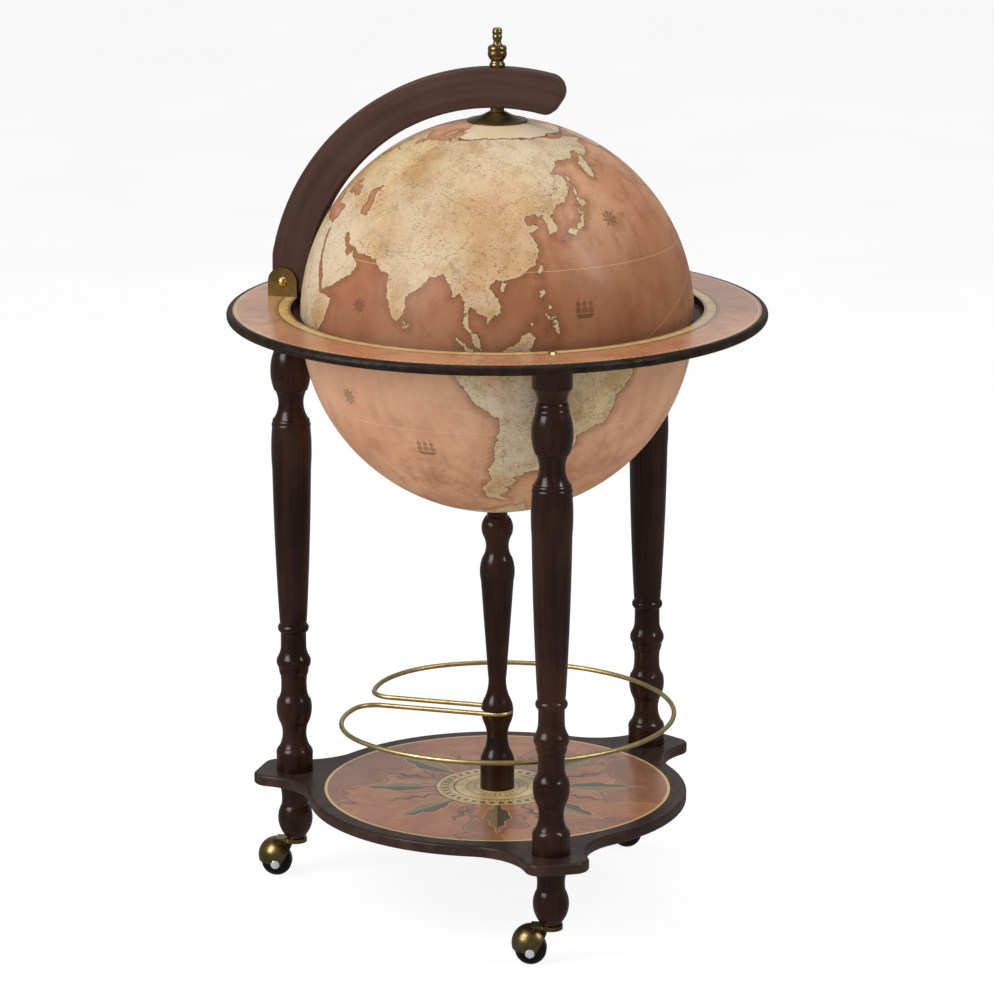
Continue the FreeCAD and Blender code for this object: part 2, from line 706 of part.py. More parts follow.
def makeRail():
    body = newBody("bottle_rail")
    turn = "rail_shoulder_turn"
    shoulder_x = f"((rail_main_radius - rail_shoulder_radius) * sin({turn}))"
    shoulder_y = f"((rail_main_radius - rail_shoulder_radius) * cos({turn}) - rail_main_shift)"
    join_x = f"rail_main_radius * sin({turn})"
    join_y = f"rail_main_radius * cos({turn}) - rail_main_shift"
    bend_x = "(wrap_radius + rail_bend_radius)"
    reach = "(rail_shoulder_radius - rail_bend_radius)"
    bend_y = f"({shoulder_y} + sqrt({reach}^2 - ({bend_x} - {shoulder_x})^2))"
    kiss_x = f"({shoulder_x} + ({bend_x} - {shoulder_x}) * rail_shoulder_radius / {reach})"
    kiss_y = f"({shoulder_y} + ({bend_y} - {shoulder_y}) * rail_shoulder_radius / {reach})"
    front = "-(rail_main_radius + rail_main_shift)"
    path = sketchOn(body, "rail_path", "XY_Plane", f"shelf_seat + {rail_rise}")
    outline(path, [
        ("0", front, "rail_main_radius", -1),
        (join_x, join_y, "rail_main_radius", -1),
        (kiss_x, kiss_y, "rail_shoulder_radius", -1),
        ("wrap_radius", bend_y, "rail_bend_radius", -1),
        ("wrap_radius", "0"),
        ("0", "-wrap_radius", "wrap_radius", 1),
        ("-wrap_radius", "0", "wrap_radius", 1),
        ("-wrap_radius", bend_y),
        (f"-{kiss_x}", kiss_y, "rail_bend_radius", -1),
        (f"-{join_x}", join_y, "rail_shoulder_radius", -1),
    ])
    section = sketchOn(body, "rail_section", "YZ_Plane")
    circles(section, [(front, f"shelf_seat + {rail_rise}", "wire_radius")])
    pipe = body.newObject("PartDesign::AdditivePipe", "rail_wire")
    pipe.Profile = section
    pipe.Spine = (path, [f"Edge{number + 1}" for number in range(path.GeometryCount)])
    doc.recompute()
    node(body)


def makeTray():
    def reach(under):
        # Radius of a disc whose lower edge rests in the bowl
        return f"sqrt(({globe_inside} - seat_play)^2 - ({bowl_mid} - {under})^2)"

    def disc(label, under, thick, cuts):
        body = newBody(label)
        sketch = sketchOn(body, f"{label}_outline", "XY_Plane", under)
        circles(sketch, [("0", "0", reach(under))])
        addFeature(body, "Pad", f"{label}_plate", sketch, thick)
        for name, holes in cuts.items():
            drill(body, name, f"{under} + {thick}", holes, thick)
        top = size(f"{under} + {thick}")
        roundEdges(body, f"{label}_rims", "tray_edge_round", lambda edge: liesAt(edge, "Z", top))
        return node(body)

    tray_under = "(ring_top - tray_drop - tray_thick)"
    floor_under = f"({bowl_mid} - {globe_inside} + floor_rise)"
    glass_ring = f"({reach(tray_under)} - glass_edge - glass_hole_radius)"
    bottles = [(*polar("bottle_ring_radius", angle), "bottle_hole_radius") for angle in (30, 150, 270)]
    glasses = [(*polar(glass_ring, angle), "glass_hole_radius") for angle in range(0, 360, 60)]
    disc("tray_top", tray_under, "tray_thick", {"bottle_holes": bottles, "glass_holes": glasses})
    disc("tray_floor", floor_under, "floor_thick", {})


def makeArm():
    body = newBody("lid_arm")
    sketch = sketchOn(body, "arm_outline", "YZ_Plane")

    def tip(radius, turn):
        return (f"-arm_setback - {radius} * sin({turn})", f"{arm_mid} + {radius} * cos({turn})")

    nose = tip("arm_outer_radius", "arm_tip_turn")
    chin = tip("arm_inner_radius", "(arm_tip_turn - arm_tip_slant)")
    back = f"(pivot_reach + {heel_radius})"
    bottom = f"({pivot_height} - {heel_radius})"
    toe = (f"-arm_setback + sqrt(arm_inner_radius^2 - ({bottom} - {arm_mid})^2)", bottom)
    nape = (back, f"{arm_mid} + sqrt(arm_outer_radius^2 - ({back} + arm_setback)^2)")
    outline(sketch, [
        (*chin, "arm_inner_radius", -1),
        nose,
        (*nape, "arm_outer_radius", 1),
        (back, pivot_height),
        ("pivot_reach", bottom, heel_radius, 1),
        toe,
    ])
    circles(sketch, [("pivot_reach", pivot_height, "bush_radius + bore_play")])
    addFeature(body, "Pad", "arm_board", sketch, "arm_thick", SideType="Symmetric")
    corners = {
        "arm_tip_outer_round": nose,
        "arm_tip_inner_round": chin,
        "arm_toe_round": toe,
        "arm_back_round": nape,
    }
    for softening, spot in corners.items():
        corner = Vector(0, *[size(text) for text in spot])

        def atCorner(edge):
            middle = (edge.Vertexes[0].Point + edge.Vertexes[-1].Point) / 2
            return (middle - corner).Length < 1e-2

        roundEdges(body, f"{softening}s", softening, atCorner)
    face = size("arm_thick") / 2
    eye = Vector(0, size("pivot_reach"), size(pivot_height))

    def isRim(edge):
        middle = edge.BoundBox.Center
        onEye = math.hypot(middle.y - eye.y, middle.z - eye.z) < 1e-3
        return (liesAt(edge, "X", face) or liesAt(edge, "X", -face)) and not onEye

    roundEdges(body, "arm_edges", "arm_edge_round", isRim)
    hole = sketchOn(body, "rod_hole_mark", "XY_Plane", f"{arm_over} + arm_lift")
    circles(hole, [("0", "0", "rod_radius + bore_play")])
    cutFeature(body, "Pocket", "rod_hole", hole, f"{arm_over} - {arm_under} + 2 * arm_lift")
    node(body)
    bore = "(pin_radius + bore_play)"
    half = "arm_thick / 2"
    bush = turned("hinge_bush", [(bore, half), ("bush_radius", half), ("bush_radius", f"-{half}"),
                                 (bore, f"-{half}")])
    node(place(bush, "0", "pivot_reach", pivot_height, (0, 1, 0), "90"))


def makeHinge():
    body = newBody("hinge_bracket")
    foot = "ring_top - bracket_let_in"
    base = sketchOn(body, "bracket_base_outline", "XY_Plane", foot)
    wide = "(fork_half + bracket_thick)"
    front, rear = "pivot_reach - ear_half_width", "pivot_reach + ear_half_width"
    outline(base, [(f"-{wide}", rear), (wide, rear), (wide, front), (f"-{wide}", front)])
    addFeature(body, "Pad", "bracket_base", base, "bracket_thick + bracket_let_in")
    ear = sketchOn(body, "bracket_ear_outline", "YZ_Plane", "fork_half")
    outline(ear, [(front, foot), (front, pivot_height),
                  ("pivot_reach", f"{pivot_height} + ear_half_width", "ear_half_width", 1),
                  (rear, pivot_height, "ear_half_width", 1), (rear, foot)])
    circles(ear, [("pivot_reach", pivot_height, "pin_radius + bore_play")])
    ear_pad = addFeature(body, "Pad", "bracket_ear", ear, "bracket_thick")
    ears = body.newObject("PartDesign::Mirrored", "bracket_ears")
    ears.Originals = [ear_pad]
    ears.MirrorPlane = ([item for item in body.Origin.OriginFeatures if item.Role == "YZ_Plane"][0], [""])
    body.Tip = ears
    doc.recompute()
    top = "ring_top + bracket_thick"
    marks = [(*spot, "bracket_screw_radius + bore_play") for spot in bracket_spots]
    drill(body, "bracket_holes", top, marks, "bracket_thick + bracket_let_in")
    marks = [(*spot, "bracket_screw_head + bore_play") for spot in bracket_spots]
    drill(body, "bracket_sinks", top, marks, "bracket_screw_sink")
    node(body)
    head = "(bracket_screw_sink - seat_play)"
    shank = "-(bracket_thick - bracket_screw_sink + bracket_screw_grip - seat_play)"
    points = [("0", head), ("bracket_screw_head", head), ("bracket_screw_head", "0"),
              ("bracket_screw_radius", "0"), ("bracket_screw_radius", shank), ("0", shank)]
    seat = f"{top} - bracket_screw_sink"
    group("bracket_screws", [place(turned(f"bracket_screw_{number}", points), *spot, seat)
                             for number, spot in enumerate(bracket_spots, start=1)])
    half = wide
    end = f"({half} + pin_head_rise)"
    crown = dome("pin_head_radius", "pin_head_rise")
    pin = turned("hinge_pin", [
        ("0", end), ("pin_head_radius", half, crown, 1), ("pin_radius", half),
        ("pin_radius", f"-{half}"), ("pin_head_radius", f"-{half}"), ("0", f"-{end}", crown, 1),
    ])
    node(place(pin, "0", "pivot_reach", pivot_height, (0, 1, 0), "90"))


def makeLid():
    hole = "(pole_bush_radius + bore_play)"
    node(turned("upper_globe", [
        (hole, onSphere(lid_mid, "globe_radius", hole, 1)),
        ("globe_radius", lid_mid, "globe_radius", 1),
        (globe_inside, lid_mid),
        (hole, onSphere(lid_mid, globe_inside, hole, 1), globe_inside, -1),
    ]))
    bore = "(rod_radius + bore_play)"
    flange_face = f"({bush_under} + pole_bush_flange_thick)"
    bush_top = f"({lid_mid} + globe_radius + cap_clear)"
    node(turned("pole_bush", [
        (bore, bush_top), ("pole_bush_radius", bush_top), ("pole_bush_radius", flange_face),
        ("pole_bush_flange", flange_face), ("pole_bush_flange", bush_under), (bore, bush_under),
    ]))
    seat = "(globe_radius + seat_play)"
    wide = "(rod_radius + cap_clear)"
    pocket = f"({bush_top} + seat_play)"
    node(turned("pole_cap", [
        (wide, cap_top), ("cap_top_radius", cap_top),
        ("cap_radius", f"{cap_base} + cap_rim", "-cap_dip_depth"),
        ("cap_radius", cap_base),
        (hole, onSphere(lid_mid, seat, hole, 1), seat, -1),
        (hole, pocket), (wide, pocket),
    ]))


def makePole():
    rod_top = f"({arm_over} + rod_into_finial)"
    rod_end = f"({nut_under} - rod_end_spare)"
    node(turned("pole_rod", [("0", rod_top), ("rod_radius", rod_top), ("rod_radius", rod_end),
                             ("0", rod_end)]))
    bore = "(rod_radius + bore_play)"
    spacer_top = f"({arm_mid} + sqrt(arm_inner_radius^2 - (arm_setback + spacer_radius)^2) - seat_play)"
    spacer_base = f"({cap_top} + pole_gap)"
    node(turned("pole_spacer", [(bore, spacer_top), ("spacer_radius", spacer_top),
                                ("spacer_radius", spacer_base), (bore, spacer_base)]))
    washer_top = f"({washer_under} + washer_thick)"
    node(turned("rod_washer", [(bore, washer_top), ("washer_radius", washer_top),
                               ("washer_radius", washer_under), (bore, washer_under)]))
    hexagon = doc.addObject("Part::Prism", "nut_hexagon")
    hexagon.Polygon = 6
    hexagon.setExpression("Circumradius", tied("nut_radius"))
    hexagon.setExpression("Height", tied("nut_thick"))
    thread = doc.addObject("Part::Cylinder", "nut_thread")
    thread.setExpression("Radius", tied(bore))
    thread.setExpression("Height", tied("nut_thick"))
    for item in (hexagon, thread):
        place(item, "0", "0", nut_under)
    nut = doc.addObject("Part::Cut", "rod_nut")
    nut.Base, nut.Tool = hexagon, thread
    node(nut)
    depth = "(rod_into_finial + bore_spare)"
    finial_runs = [f"finial_low_{row[0]}_length" for row in turnings["finial_low"]]
    points = [("0", " + ".join(finial_runs))]
    points += rising("finial_low", "finial_base_radius")
    points += [(bore, "0"), (bore, depth), ("0", depth)]
    node(place(turned("finial", points), "0", "0", f"{arm_over} + seat_play"))


def makeCaster(name, angle):
    leg_x, leg_y = polar("leg_circle", angle)
    wheel_x = f"{leg_x} - caster_trail * sin(caster_turn)"
    wheel_y = f"{leg_y} + caster_trail * cos(caster_turn)"
    body = newBody(f"caster_{name}_hood")
    ball = sketchOn(body, f"hood_{name}_half", "XZ_Plane")
    outline(ball, [("0", f"{hood_mid} + hood_radius"), ("hood_radius", hood_mid, "hood_radius", 1),
                   ("0", f"{hood_mid} - hood_radius", "hood_radius", 1)])
    addFeature(body, "Revolution", f"hood_{name}_ball", ball)
    collar = sketchOn(body, f"collar_{name}_outline", "XY_Plane", collar_under)
    circles(collar, [("0", "-caster_trail", "collar_radius")])
    addFeature(body, "Pad", f"collar_{name}", collar, "collar_thick")
    neck = sketchOn(body, f"neck_{name}_outline", "XY_Plane", collar_under)
    outline(neck, [("-neck_half_width", "0"), ("neck_half_width", "0"), ("neck_half_width", "-caster_trail"),
                   ("-neck_half_width", "-caster_trail")])
    addFeature(body, "Pad", f"neck_{name}", neck, "collar_thick - seat_play")
    inside = sketchOn(body, f"hood_{name}_inside", "XZ_Plane")
    hollow = "hood_inner_radius"
    outline(inside, [("0", f"{hood_mid} + {hollow}"), (hollow, hood_mid, hollow, 1),
                     ("0", f"{hood_mid} - {hollow}", hollow, 1)])
    cutFeature(body, "Groove", f"hood_{name}_hollow", inside)
    mouth = sketchOn(body, f"hood_{name}_mouth_outline", "YZ_Plane")
    outside = "2 * hood_radius"
    brow = "wheel_radius + hood_mouth_rise"
    outline(mouth, [
        (outside, "wheel_radius"), (outside, f"-{outside}"), (f"-{outside}", f"-{outside}"),
        (f"-{outside}", brow), ("-hood_mouth_reach", brow), ("-hood_ear_radius", "wheel_radius"),
        ("0", "wheel_radius - hood_ear_radius", "hood_ear_radius", -1),
        ("hood_ear_radius", "wheel_radius", "hood_ear_radius", -1),
    ])
    cutFeature(body, "Pocket", f"hood_{name}_mouth", mouth, "4 * hood_radius", SideType="Symmetric")
    eye = sketchOn(body, f"axle_{name}_mark", "YZ_Plane")
    circles(eye, [("0", "wheel_radius", "axle_radius + bore_play")])
    cutFeature(body, "Pocket", f"axle_{name}_hole", eye, "4 * hood_radius", SideType="Symmetric")
    for end, side, turn in (("near", 1, True), ("far", -1, False)):
        seat = sketchOn(body, f"axle_{name}_seat_mark_{end}", "YZ_Plane", f"{side} * axle_half_grip")
        circles(seat, [("0", "wheel_radius", "axle_head_radius + axle_seat_play")])
        cutFeature(body, "Pocket", f"axle_{name}_seat_{end}", seat, "hood_radius", Reversed=turn)
    stem_hole = [("0", "-caster_trail", "stem_radius + bore_play")]
    drill(body, f"stem_{name}_hole", collar_top, stem_hole, "collar_thick")
    node(place(body, wheel_x, wheel_y, "0", angle="caster_turn"))
    stem_top = "(caster_height + stem_grip)"
    stem = turned(f"caster_{name}_stem", [
        ("0", stem_top), ("stem_radius", stem_top), ("stem_radius", collar_under),
        ("stem_rivet_radius", collar_under), ("stem_rivet_radius", f"{collar_under} - stem_rivet_thick"),
        ("0", f"{collar_under} - stem_rivet_thick"),
    ])
    node(place(stem, leg_x, leg_y, "0"))
    turn = FreeCAD.Rotation(Vector(0, 0, 1), size("caster_turn")) * FreeCAD.Rotation(Vector(0, 1, 0), 90)
    end = "(axle_half_grip + axle_head_thick)"
    crown = dome("axle_head_radius", "axle_head_rise")
    axle = turned(f"caster_{name}_axle", [
        ("0", f"{end} + axle_head_rise"), ("axle_head_radius", end, crown, 1),
        ("axle_head_radius", "axle_half_grip"), ("axle_radius", "axle_half_grip"),
        ("axle_radius", "-axle_half_grip"), ("axle_head_radius", "-axle_half_grip"),
        ("axle_head_radius", f"-{end}"), ("0", f"-{end} - axle_head_rise", crown, 1),
    ])
    bore = "(axle_radius + bore_play)"
    wheel = turned(f"caster_{name}_wheel", [
        (bore, "hub_half_width"), ("hub_radius", "hub_half_width"), ("hub_radius", "wheel_half_width"),
        ("wheel_side_radius", "wheel_half_width"), ("wheel_radius", "wheel_tread_half", "wheel_crown_height"),
        ("wheel_radius", "-wheel_tread_half"),
        ("wheel_side_radius", "-wheel_half_width", "wheel_crown_height"),
        ("hub_radius", "-wheel_half_width"), ("hub_radius", "-hub_half_width"), (bore, "-hub_half_width"),
    ])
    for item in (axle, wheel):
        place(item, wheel_x, wheel_y, "wheel_radius", tuple(turn.Axis), str(math.degrees(turn.Angle)))
        node(item)


makeShelf()
makeLegs()
makeFeet()
makeRing()
makeRingBolts()
makeLowerGlobe()
makeColumn()
makeRail()
makeTray()
makeHinge()
makeArm()
makePole()
makeLid()
for leg_name, leg_angle in legs.items():
    makeCaster(leg_name, leg_angle)
doc.recompute()

for item in doc.Objects:
    if "Invalid" in item.State or "Error" in item.State:
        raise RuntimeError(f"{item.Label} failed: {item.State}")
for item in nodes:
    if item.Shape.isNull() or not item.Shape.isValid() or not item.Shape.Solids:
        raise RuntimeError(f"{item.Label} has no valid solid")

os.makedirs("parts", exist_ok=True)
for item in nodes:
    item.Shape.exportStep(f"parts/{item.Label}.step")
    print(f"{item.Label}: {len(item.Shape.Solids)} solids, {item.Shape.Volume / 1000:.2f} cm3")
print(f"{len(nodes)} nodes")
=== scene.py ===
import bpy
import math
import numpy as np
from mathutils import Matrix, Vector


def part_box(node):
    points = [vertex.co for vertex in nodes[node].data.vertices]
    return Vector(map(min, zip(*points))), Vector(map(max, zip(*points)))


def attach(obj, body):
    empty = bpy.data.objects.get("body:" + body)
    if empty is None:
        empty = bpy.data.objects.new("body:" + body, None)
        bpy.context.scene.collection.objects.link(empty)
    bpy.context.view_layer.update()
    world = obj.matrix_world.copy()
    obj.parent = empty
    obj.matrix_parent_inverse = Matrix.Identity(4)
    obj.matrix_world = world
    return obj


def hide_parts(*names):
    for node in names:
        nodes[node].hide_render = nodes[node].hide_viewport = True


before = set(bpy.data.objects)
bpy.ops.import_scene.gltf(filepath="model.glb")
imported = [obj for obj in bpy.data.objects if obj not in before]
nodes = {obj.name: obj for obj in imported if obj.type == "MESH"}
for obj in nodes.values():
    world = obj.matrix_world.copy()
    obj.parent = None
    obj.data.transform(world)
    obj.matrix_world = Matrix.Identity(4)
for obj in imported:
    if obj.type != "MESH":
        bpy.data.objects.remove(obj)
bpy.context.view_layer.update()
print("frame loaded with", len(nodes), "nodes")


def tone(red, green, blue):
    # a colour as seen on screen, 0 to 255, made linear for the shaders
    def linear(value):
        value = value / 255
        return value / 12.92 if value <= 0.04045 else ((value + 0.055) / 1.055) ** 2.4
    return (linear(red), linear(green), linear(blue), 1)


class Wire:
    # one socket of a material; sums written on it become Math nodes
    def __init__(self, tree, socket=None):
        self.tree = tree
        self.socket = socket

    def feed(self, socket, value):
        if isinstance(value, Wire):
            self.tree.links.new(value.socket, socket)
        else:
            socket.default_value = value

    def node(self, kind, settings=None, sockets=None, output=0):
        made = self.tree.nodes.new(kind)
        for name, value in (settings or {}).items():
            setattr(made, name, value)
        for name, value in (sockets or {}).items():
            self.feed(made.inputs[name], value)
        return Wire(self.tree, made.outputs[output])

    def math(self, operation, *others):
        return self.node("ShaderNodeMath", {"operation": operation}, dict(enumerate((self, *others))))

    def __add__(self, other):
        return self.math("ADD", other)

    def __sub__(self, other):
        return self.math("SUBTRACT", other)

    def __rsub__(self, other):
        return self.node("ShaderNodeMath", {"operation": "SUBTRACT"}, {0: other, 1: self})

    def __mul__(self, other):
        return self.math("MULTIPLY", other)

    def __truediv__(self, other):
        return self.math("DIVIDE", other)

    def __pow__(self, other):
        return self.math("POWER", other)

    def __lt__(self, other):
        return self.math("LESS_THAN", other)

    def __gt__(self, other):
        return self.math("GREATER_THAN", other)

    def __abs__(self):
        return self.math("ABSOLUTE")

    __radd__ = __add__

    def step(self, low, high):
        # 0 below low, 1 above high, smooth between
        sockets = {"Value": self, "From Min": low, "From Max": high}
        return self.node("ShaderNodeMapRange", {"interpolation_type": "SMOOTHSTEP"}, sockets)

    def band(self, low, high, soft):
        # 1 between low and high
        return self.step(low - soft, low + soft) * (1 - self.step(high - soft, high + soft))

    def near(self, middle, half, soft):
        # 1 within half of the middle value
        return 1 - abs(self - middle).step(half, half + soft)

    def mix(self, first, second):
        # self is the share of the second colour
        return self.node("ShaderNodeMix", {"data_type": "RGBA"}, {0: self, 6: first, 7: second}, 2)

    def noise(self, scale, detail=3, roughness=0.55, stretch=None):
        spot = self if stretch is None else self.vector("MULTIPLY", stretch)
        sockets = {"Vector": spot, "Scale": scale, "Detail": detail, "Roughness": roughness}
        return self.node("ShaderNodeTexNoise", None, sockets)

    def vector(self, operation, *others, output=0):
        sockets = dict(enumerate((self, *others)))
        return self.node("ShaderNodeVectorMath", {"operation": operation}, sockets, output)

    def parts(self):
        made = self.node("ShaderNodeSeparateXYZ", None, {0: self})
        return [Wire(self.tree, socket) for socket in made.socket.node.outputs]

    def join(self, *values):
        return self.node("ShaderNodeCombineXYZ", None, dict(enumerate(values)))


def newFinish(name, **constants):
    # a material with its fixed shader values set; returns it with a place to write sums and its shader
    material = bpy.data.materials.new(name)
    material.use_nodes = True
    shader = material.node_tree.nodes["Principled BSDF"]
    for socket, value in constants.items():
        shader.inputs[socket.replace("_", " ")].default_value = value
    pen = Wire(material.node_tree)
    return material, pen.node("ShaderNodeTexCoord", output="Object"), shader


def relief(height, distance, strength):
    sockets = {"Height": height, "Distance": distance, "Strength": strength}
    return height.node("ShaderNodeBump", None, sockets)


def polar(place):
    # distance from the Z axis in millimetres, and the angle round it in turns
    x, y = place.parts()[:2]
    return (x * x + y * y) ** 0.5 * 1000, y.math("ARCTAN2", x) / math.tau


def beat(turn, count):
    # falls from 0.5 to 0 and rises again, count times in one turn
    return abs((turn * count).math("FRACT") - 0.5)


def overlay(place, colour, layers):
    # each layer: noise scale, detail, roughness, the levels where its tint starts and is full, share, tint
    for scale, detail, roughness, start, full, share, tint in layers:
        colour = (place.noise(scale, detail, roughness).step(start, full) * share).mix(colour, tint)
    return colour


wood = {
    "dark": tone(22, 10, 6), "mid": tone(46, 23, 15), "light": tone(74, 41, 29),
    "grain": (1, 1, 0.06), "grainScale": 110, "poreScale": 420,
}


def makeWood(name, dark, mid, light, gloss, coat, grainSpace=None):
    material, place, shader = newFinish(name, Coat_Roughness=0.19, Specular_IOR_Level=0.08)
    spot = grainSpace(place) if grainSpace else place.vector("MULTIPLY", wood["grain"])
    figure = spot.noise(wood["grainScale"], 4, 0.6)
    pores = spot.noise(wood["poreScale"], 2, 0.5)
    cloud = place.noise(9, 3)
    colour = figure.step(0.3, 0.72).mix(dark, mid)
    colour = (cloud.step(0.42, 0.72) * 0.5).mix(colour, light)
    colour = (pores.step(0.56, 0.68) * 0.4).mix(colour, dark)
    place.feed(shader.inputs["Base Color"], colour)
    place.feed(shader.inputs["Roughness"], gloss + figure * 0.12 + place.noise(55, 2) * 0.08)
    place.feed(shader.inputs["Coat Weight"], coat + cloud * 0.05)
    place.feed(shader.inputs["Normal"], relief(figure * 0.6 + pores * 0.4, 0.0004, 0.1))
    return material


arm = {"back": 0.006, "height": 0.6258, "radius": 0.228}


def armGrain(place):
    # the grain runs round the arm's curve
    x, y, z = place.parts()
    across = y + arm["back"]
    up = z - arm["height"]
    radius = (across * across + up * up) ** 0.5
    return x.join(x, radius, up.math("ARCTAN2", across) * arm["radius"] * wood["grain"][2])


metal = {
    "brassLight": tone(154, 135, 92), "brassMid": tone(116, 98, 61), "brassDark": tone(50, 41, 25),
    "steel": tone(190, 190, 192), "steelDark": tone(120, 120, 124),
}


def makeMetal(name, light, mid, dark, smooth, age, metallic=1.0):
    material, place, shader = newFinish(name, Metallic=metallic)
    cloud = place.noise(38, 4, 0.62)
    spots = place.noise(240, 3, 0.6)
    polish = place.noise(900, 2, 0.5, (1, 1, 0.12))
    colour = cloud.step(0.3, 0.66).mix(mid, light)
    colour = (spots.step(0.56, 0.74) * age).mix(colour, dark)
    cloud.feed(shader.inputs["Base Color"], colour)
    wear = spots.step(0.5, 0.75) * 0.16
    cloud.feed(shader.inputs["Roughness"], smooth + cloud * 0.12 + wear + polish * 0.05)
    cloud.feed(shader.inputs["Normal"], relief(polish * 0.5 + spots * 0.5, 0.0002, 0.08))
    return material


def makeRubber(name):
    material, place, shader = newFinish(name, Specular_IOR_Level=0.3)
    dust = place.noise(160, 4, 0.65)
    scuff = place.noise(620, 2, 0.5)
    colour = dust.step(0.5, 0.82).mix(tone(8, 8, 8), tone(26, 25, 24))
    dust.feed(shader.inputs["Base Color"], colour)
    dust.feed(shader.inputs["Roughness"], 0.16 + dust * 0.14 + scuff.step(0.55, 0.7) * 0.12)
    dust.feed(shader.inputs["Normal"], relief(scuff, 0.0002, 0.08))
    return material


sea = {"deep": tone(152, 94, 64), "mid": tone(188, 130, 95), "pale": tone(208, 158, 122),
       "stain": tone(116, 66, 42), "mauve": tone(152, 106, 88)}
land = {"cream": tone(212, 188, 144), "tan": tone(176, 142, 96), "pale": tone(214, 194, 168),
        "rose": tone(202, 150, 104), "ink": tone(70, 50, 34), "line": tone(222, 180, 140)}


def agedPaper(place, deep, mid, pale, stain):
    # the terracotta ground that the ring, the shelf and the seas share: mottle, streaks, stains and grain
    upright = place.vector("MULTIPLY", (1, 1, 0.12))
    colour = overlay(place, mid, (
        (7, 5, 0.62, 0.34, 0.66, 1.0, pale),
        (34, 5, 0.66, 0.44, 0.72, 0.55, deep),
    ))
    colour = overlay(upright, colour, ((60, 4, 0.6, 0.48, 0.7, 0.4, deep),))
    return overlay(place, colour, (
        (19, 4, 0.7, 0.56, 0.74, 0.3, stain),
        (5, 3, 0.5, 0.54, 0.7, 0.4, sea["mauve"]),
        (700, 2, 0.6, 0.5, 0.8, 0.16, stain),
    ))


def star(u, v, points, inner, knee, outer, width, wave=0.0, scallop=0.0):
    # rays of a rose, widest at the knee: their mask, which half a spot is on, and how deep inside it is
    radius = (u * u + v * v) ** 0.5
    turn = (v.math("ARCTAN2", u) * (points / math.tau) + 0.5).math("FRACT") - 0.5
    angle = turn * (math.tau / points)
    along = radius * angle.math("COSINE")
    aside = radius * angle.math("SINE")
    sway = along * (math.tau / (0.24 * (outer - inner)))
    if wave:
        aside = aside + sway.math("SINE") * wave
    swell = (along - inner) / (knee - inner) * 0.75 + 0.25
    inset = swell.math("MINIMUM", (outer - along) / (outer - knee)) * width - abs(aside)
    if scallop:
        inset = inset + sway.math("COSINE") * scallop
    ray = inset.step(0, 0.06 * width) * (along > inner) * (along < outer)
    return ray, aside.step(-0.02 * width, 0.02 * width), inset


globe = {
    "radius": 0.2, "wall": 0.003, "segments": 432, "rings": 216,
    "lidHole": 0.0095, "bowlHole": 0.0034,
    "lidTurn": 88, "bowlTurn": 267,      # degrees from a map longitude to the angle round the axis
}
globe["lidMid"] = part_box("upper_globe")[0].z
globe["bowlMid"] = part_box("lower_globe")[0].z + globe["radius"]

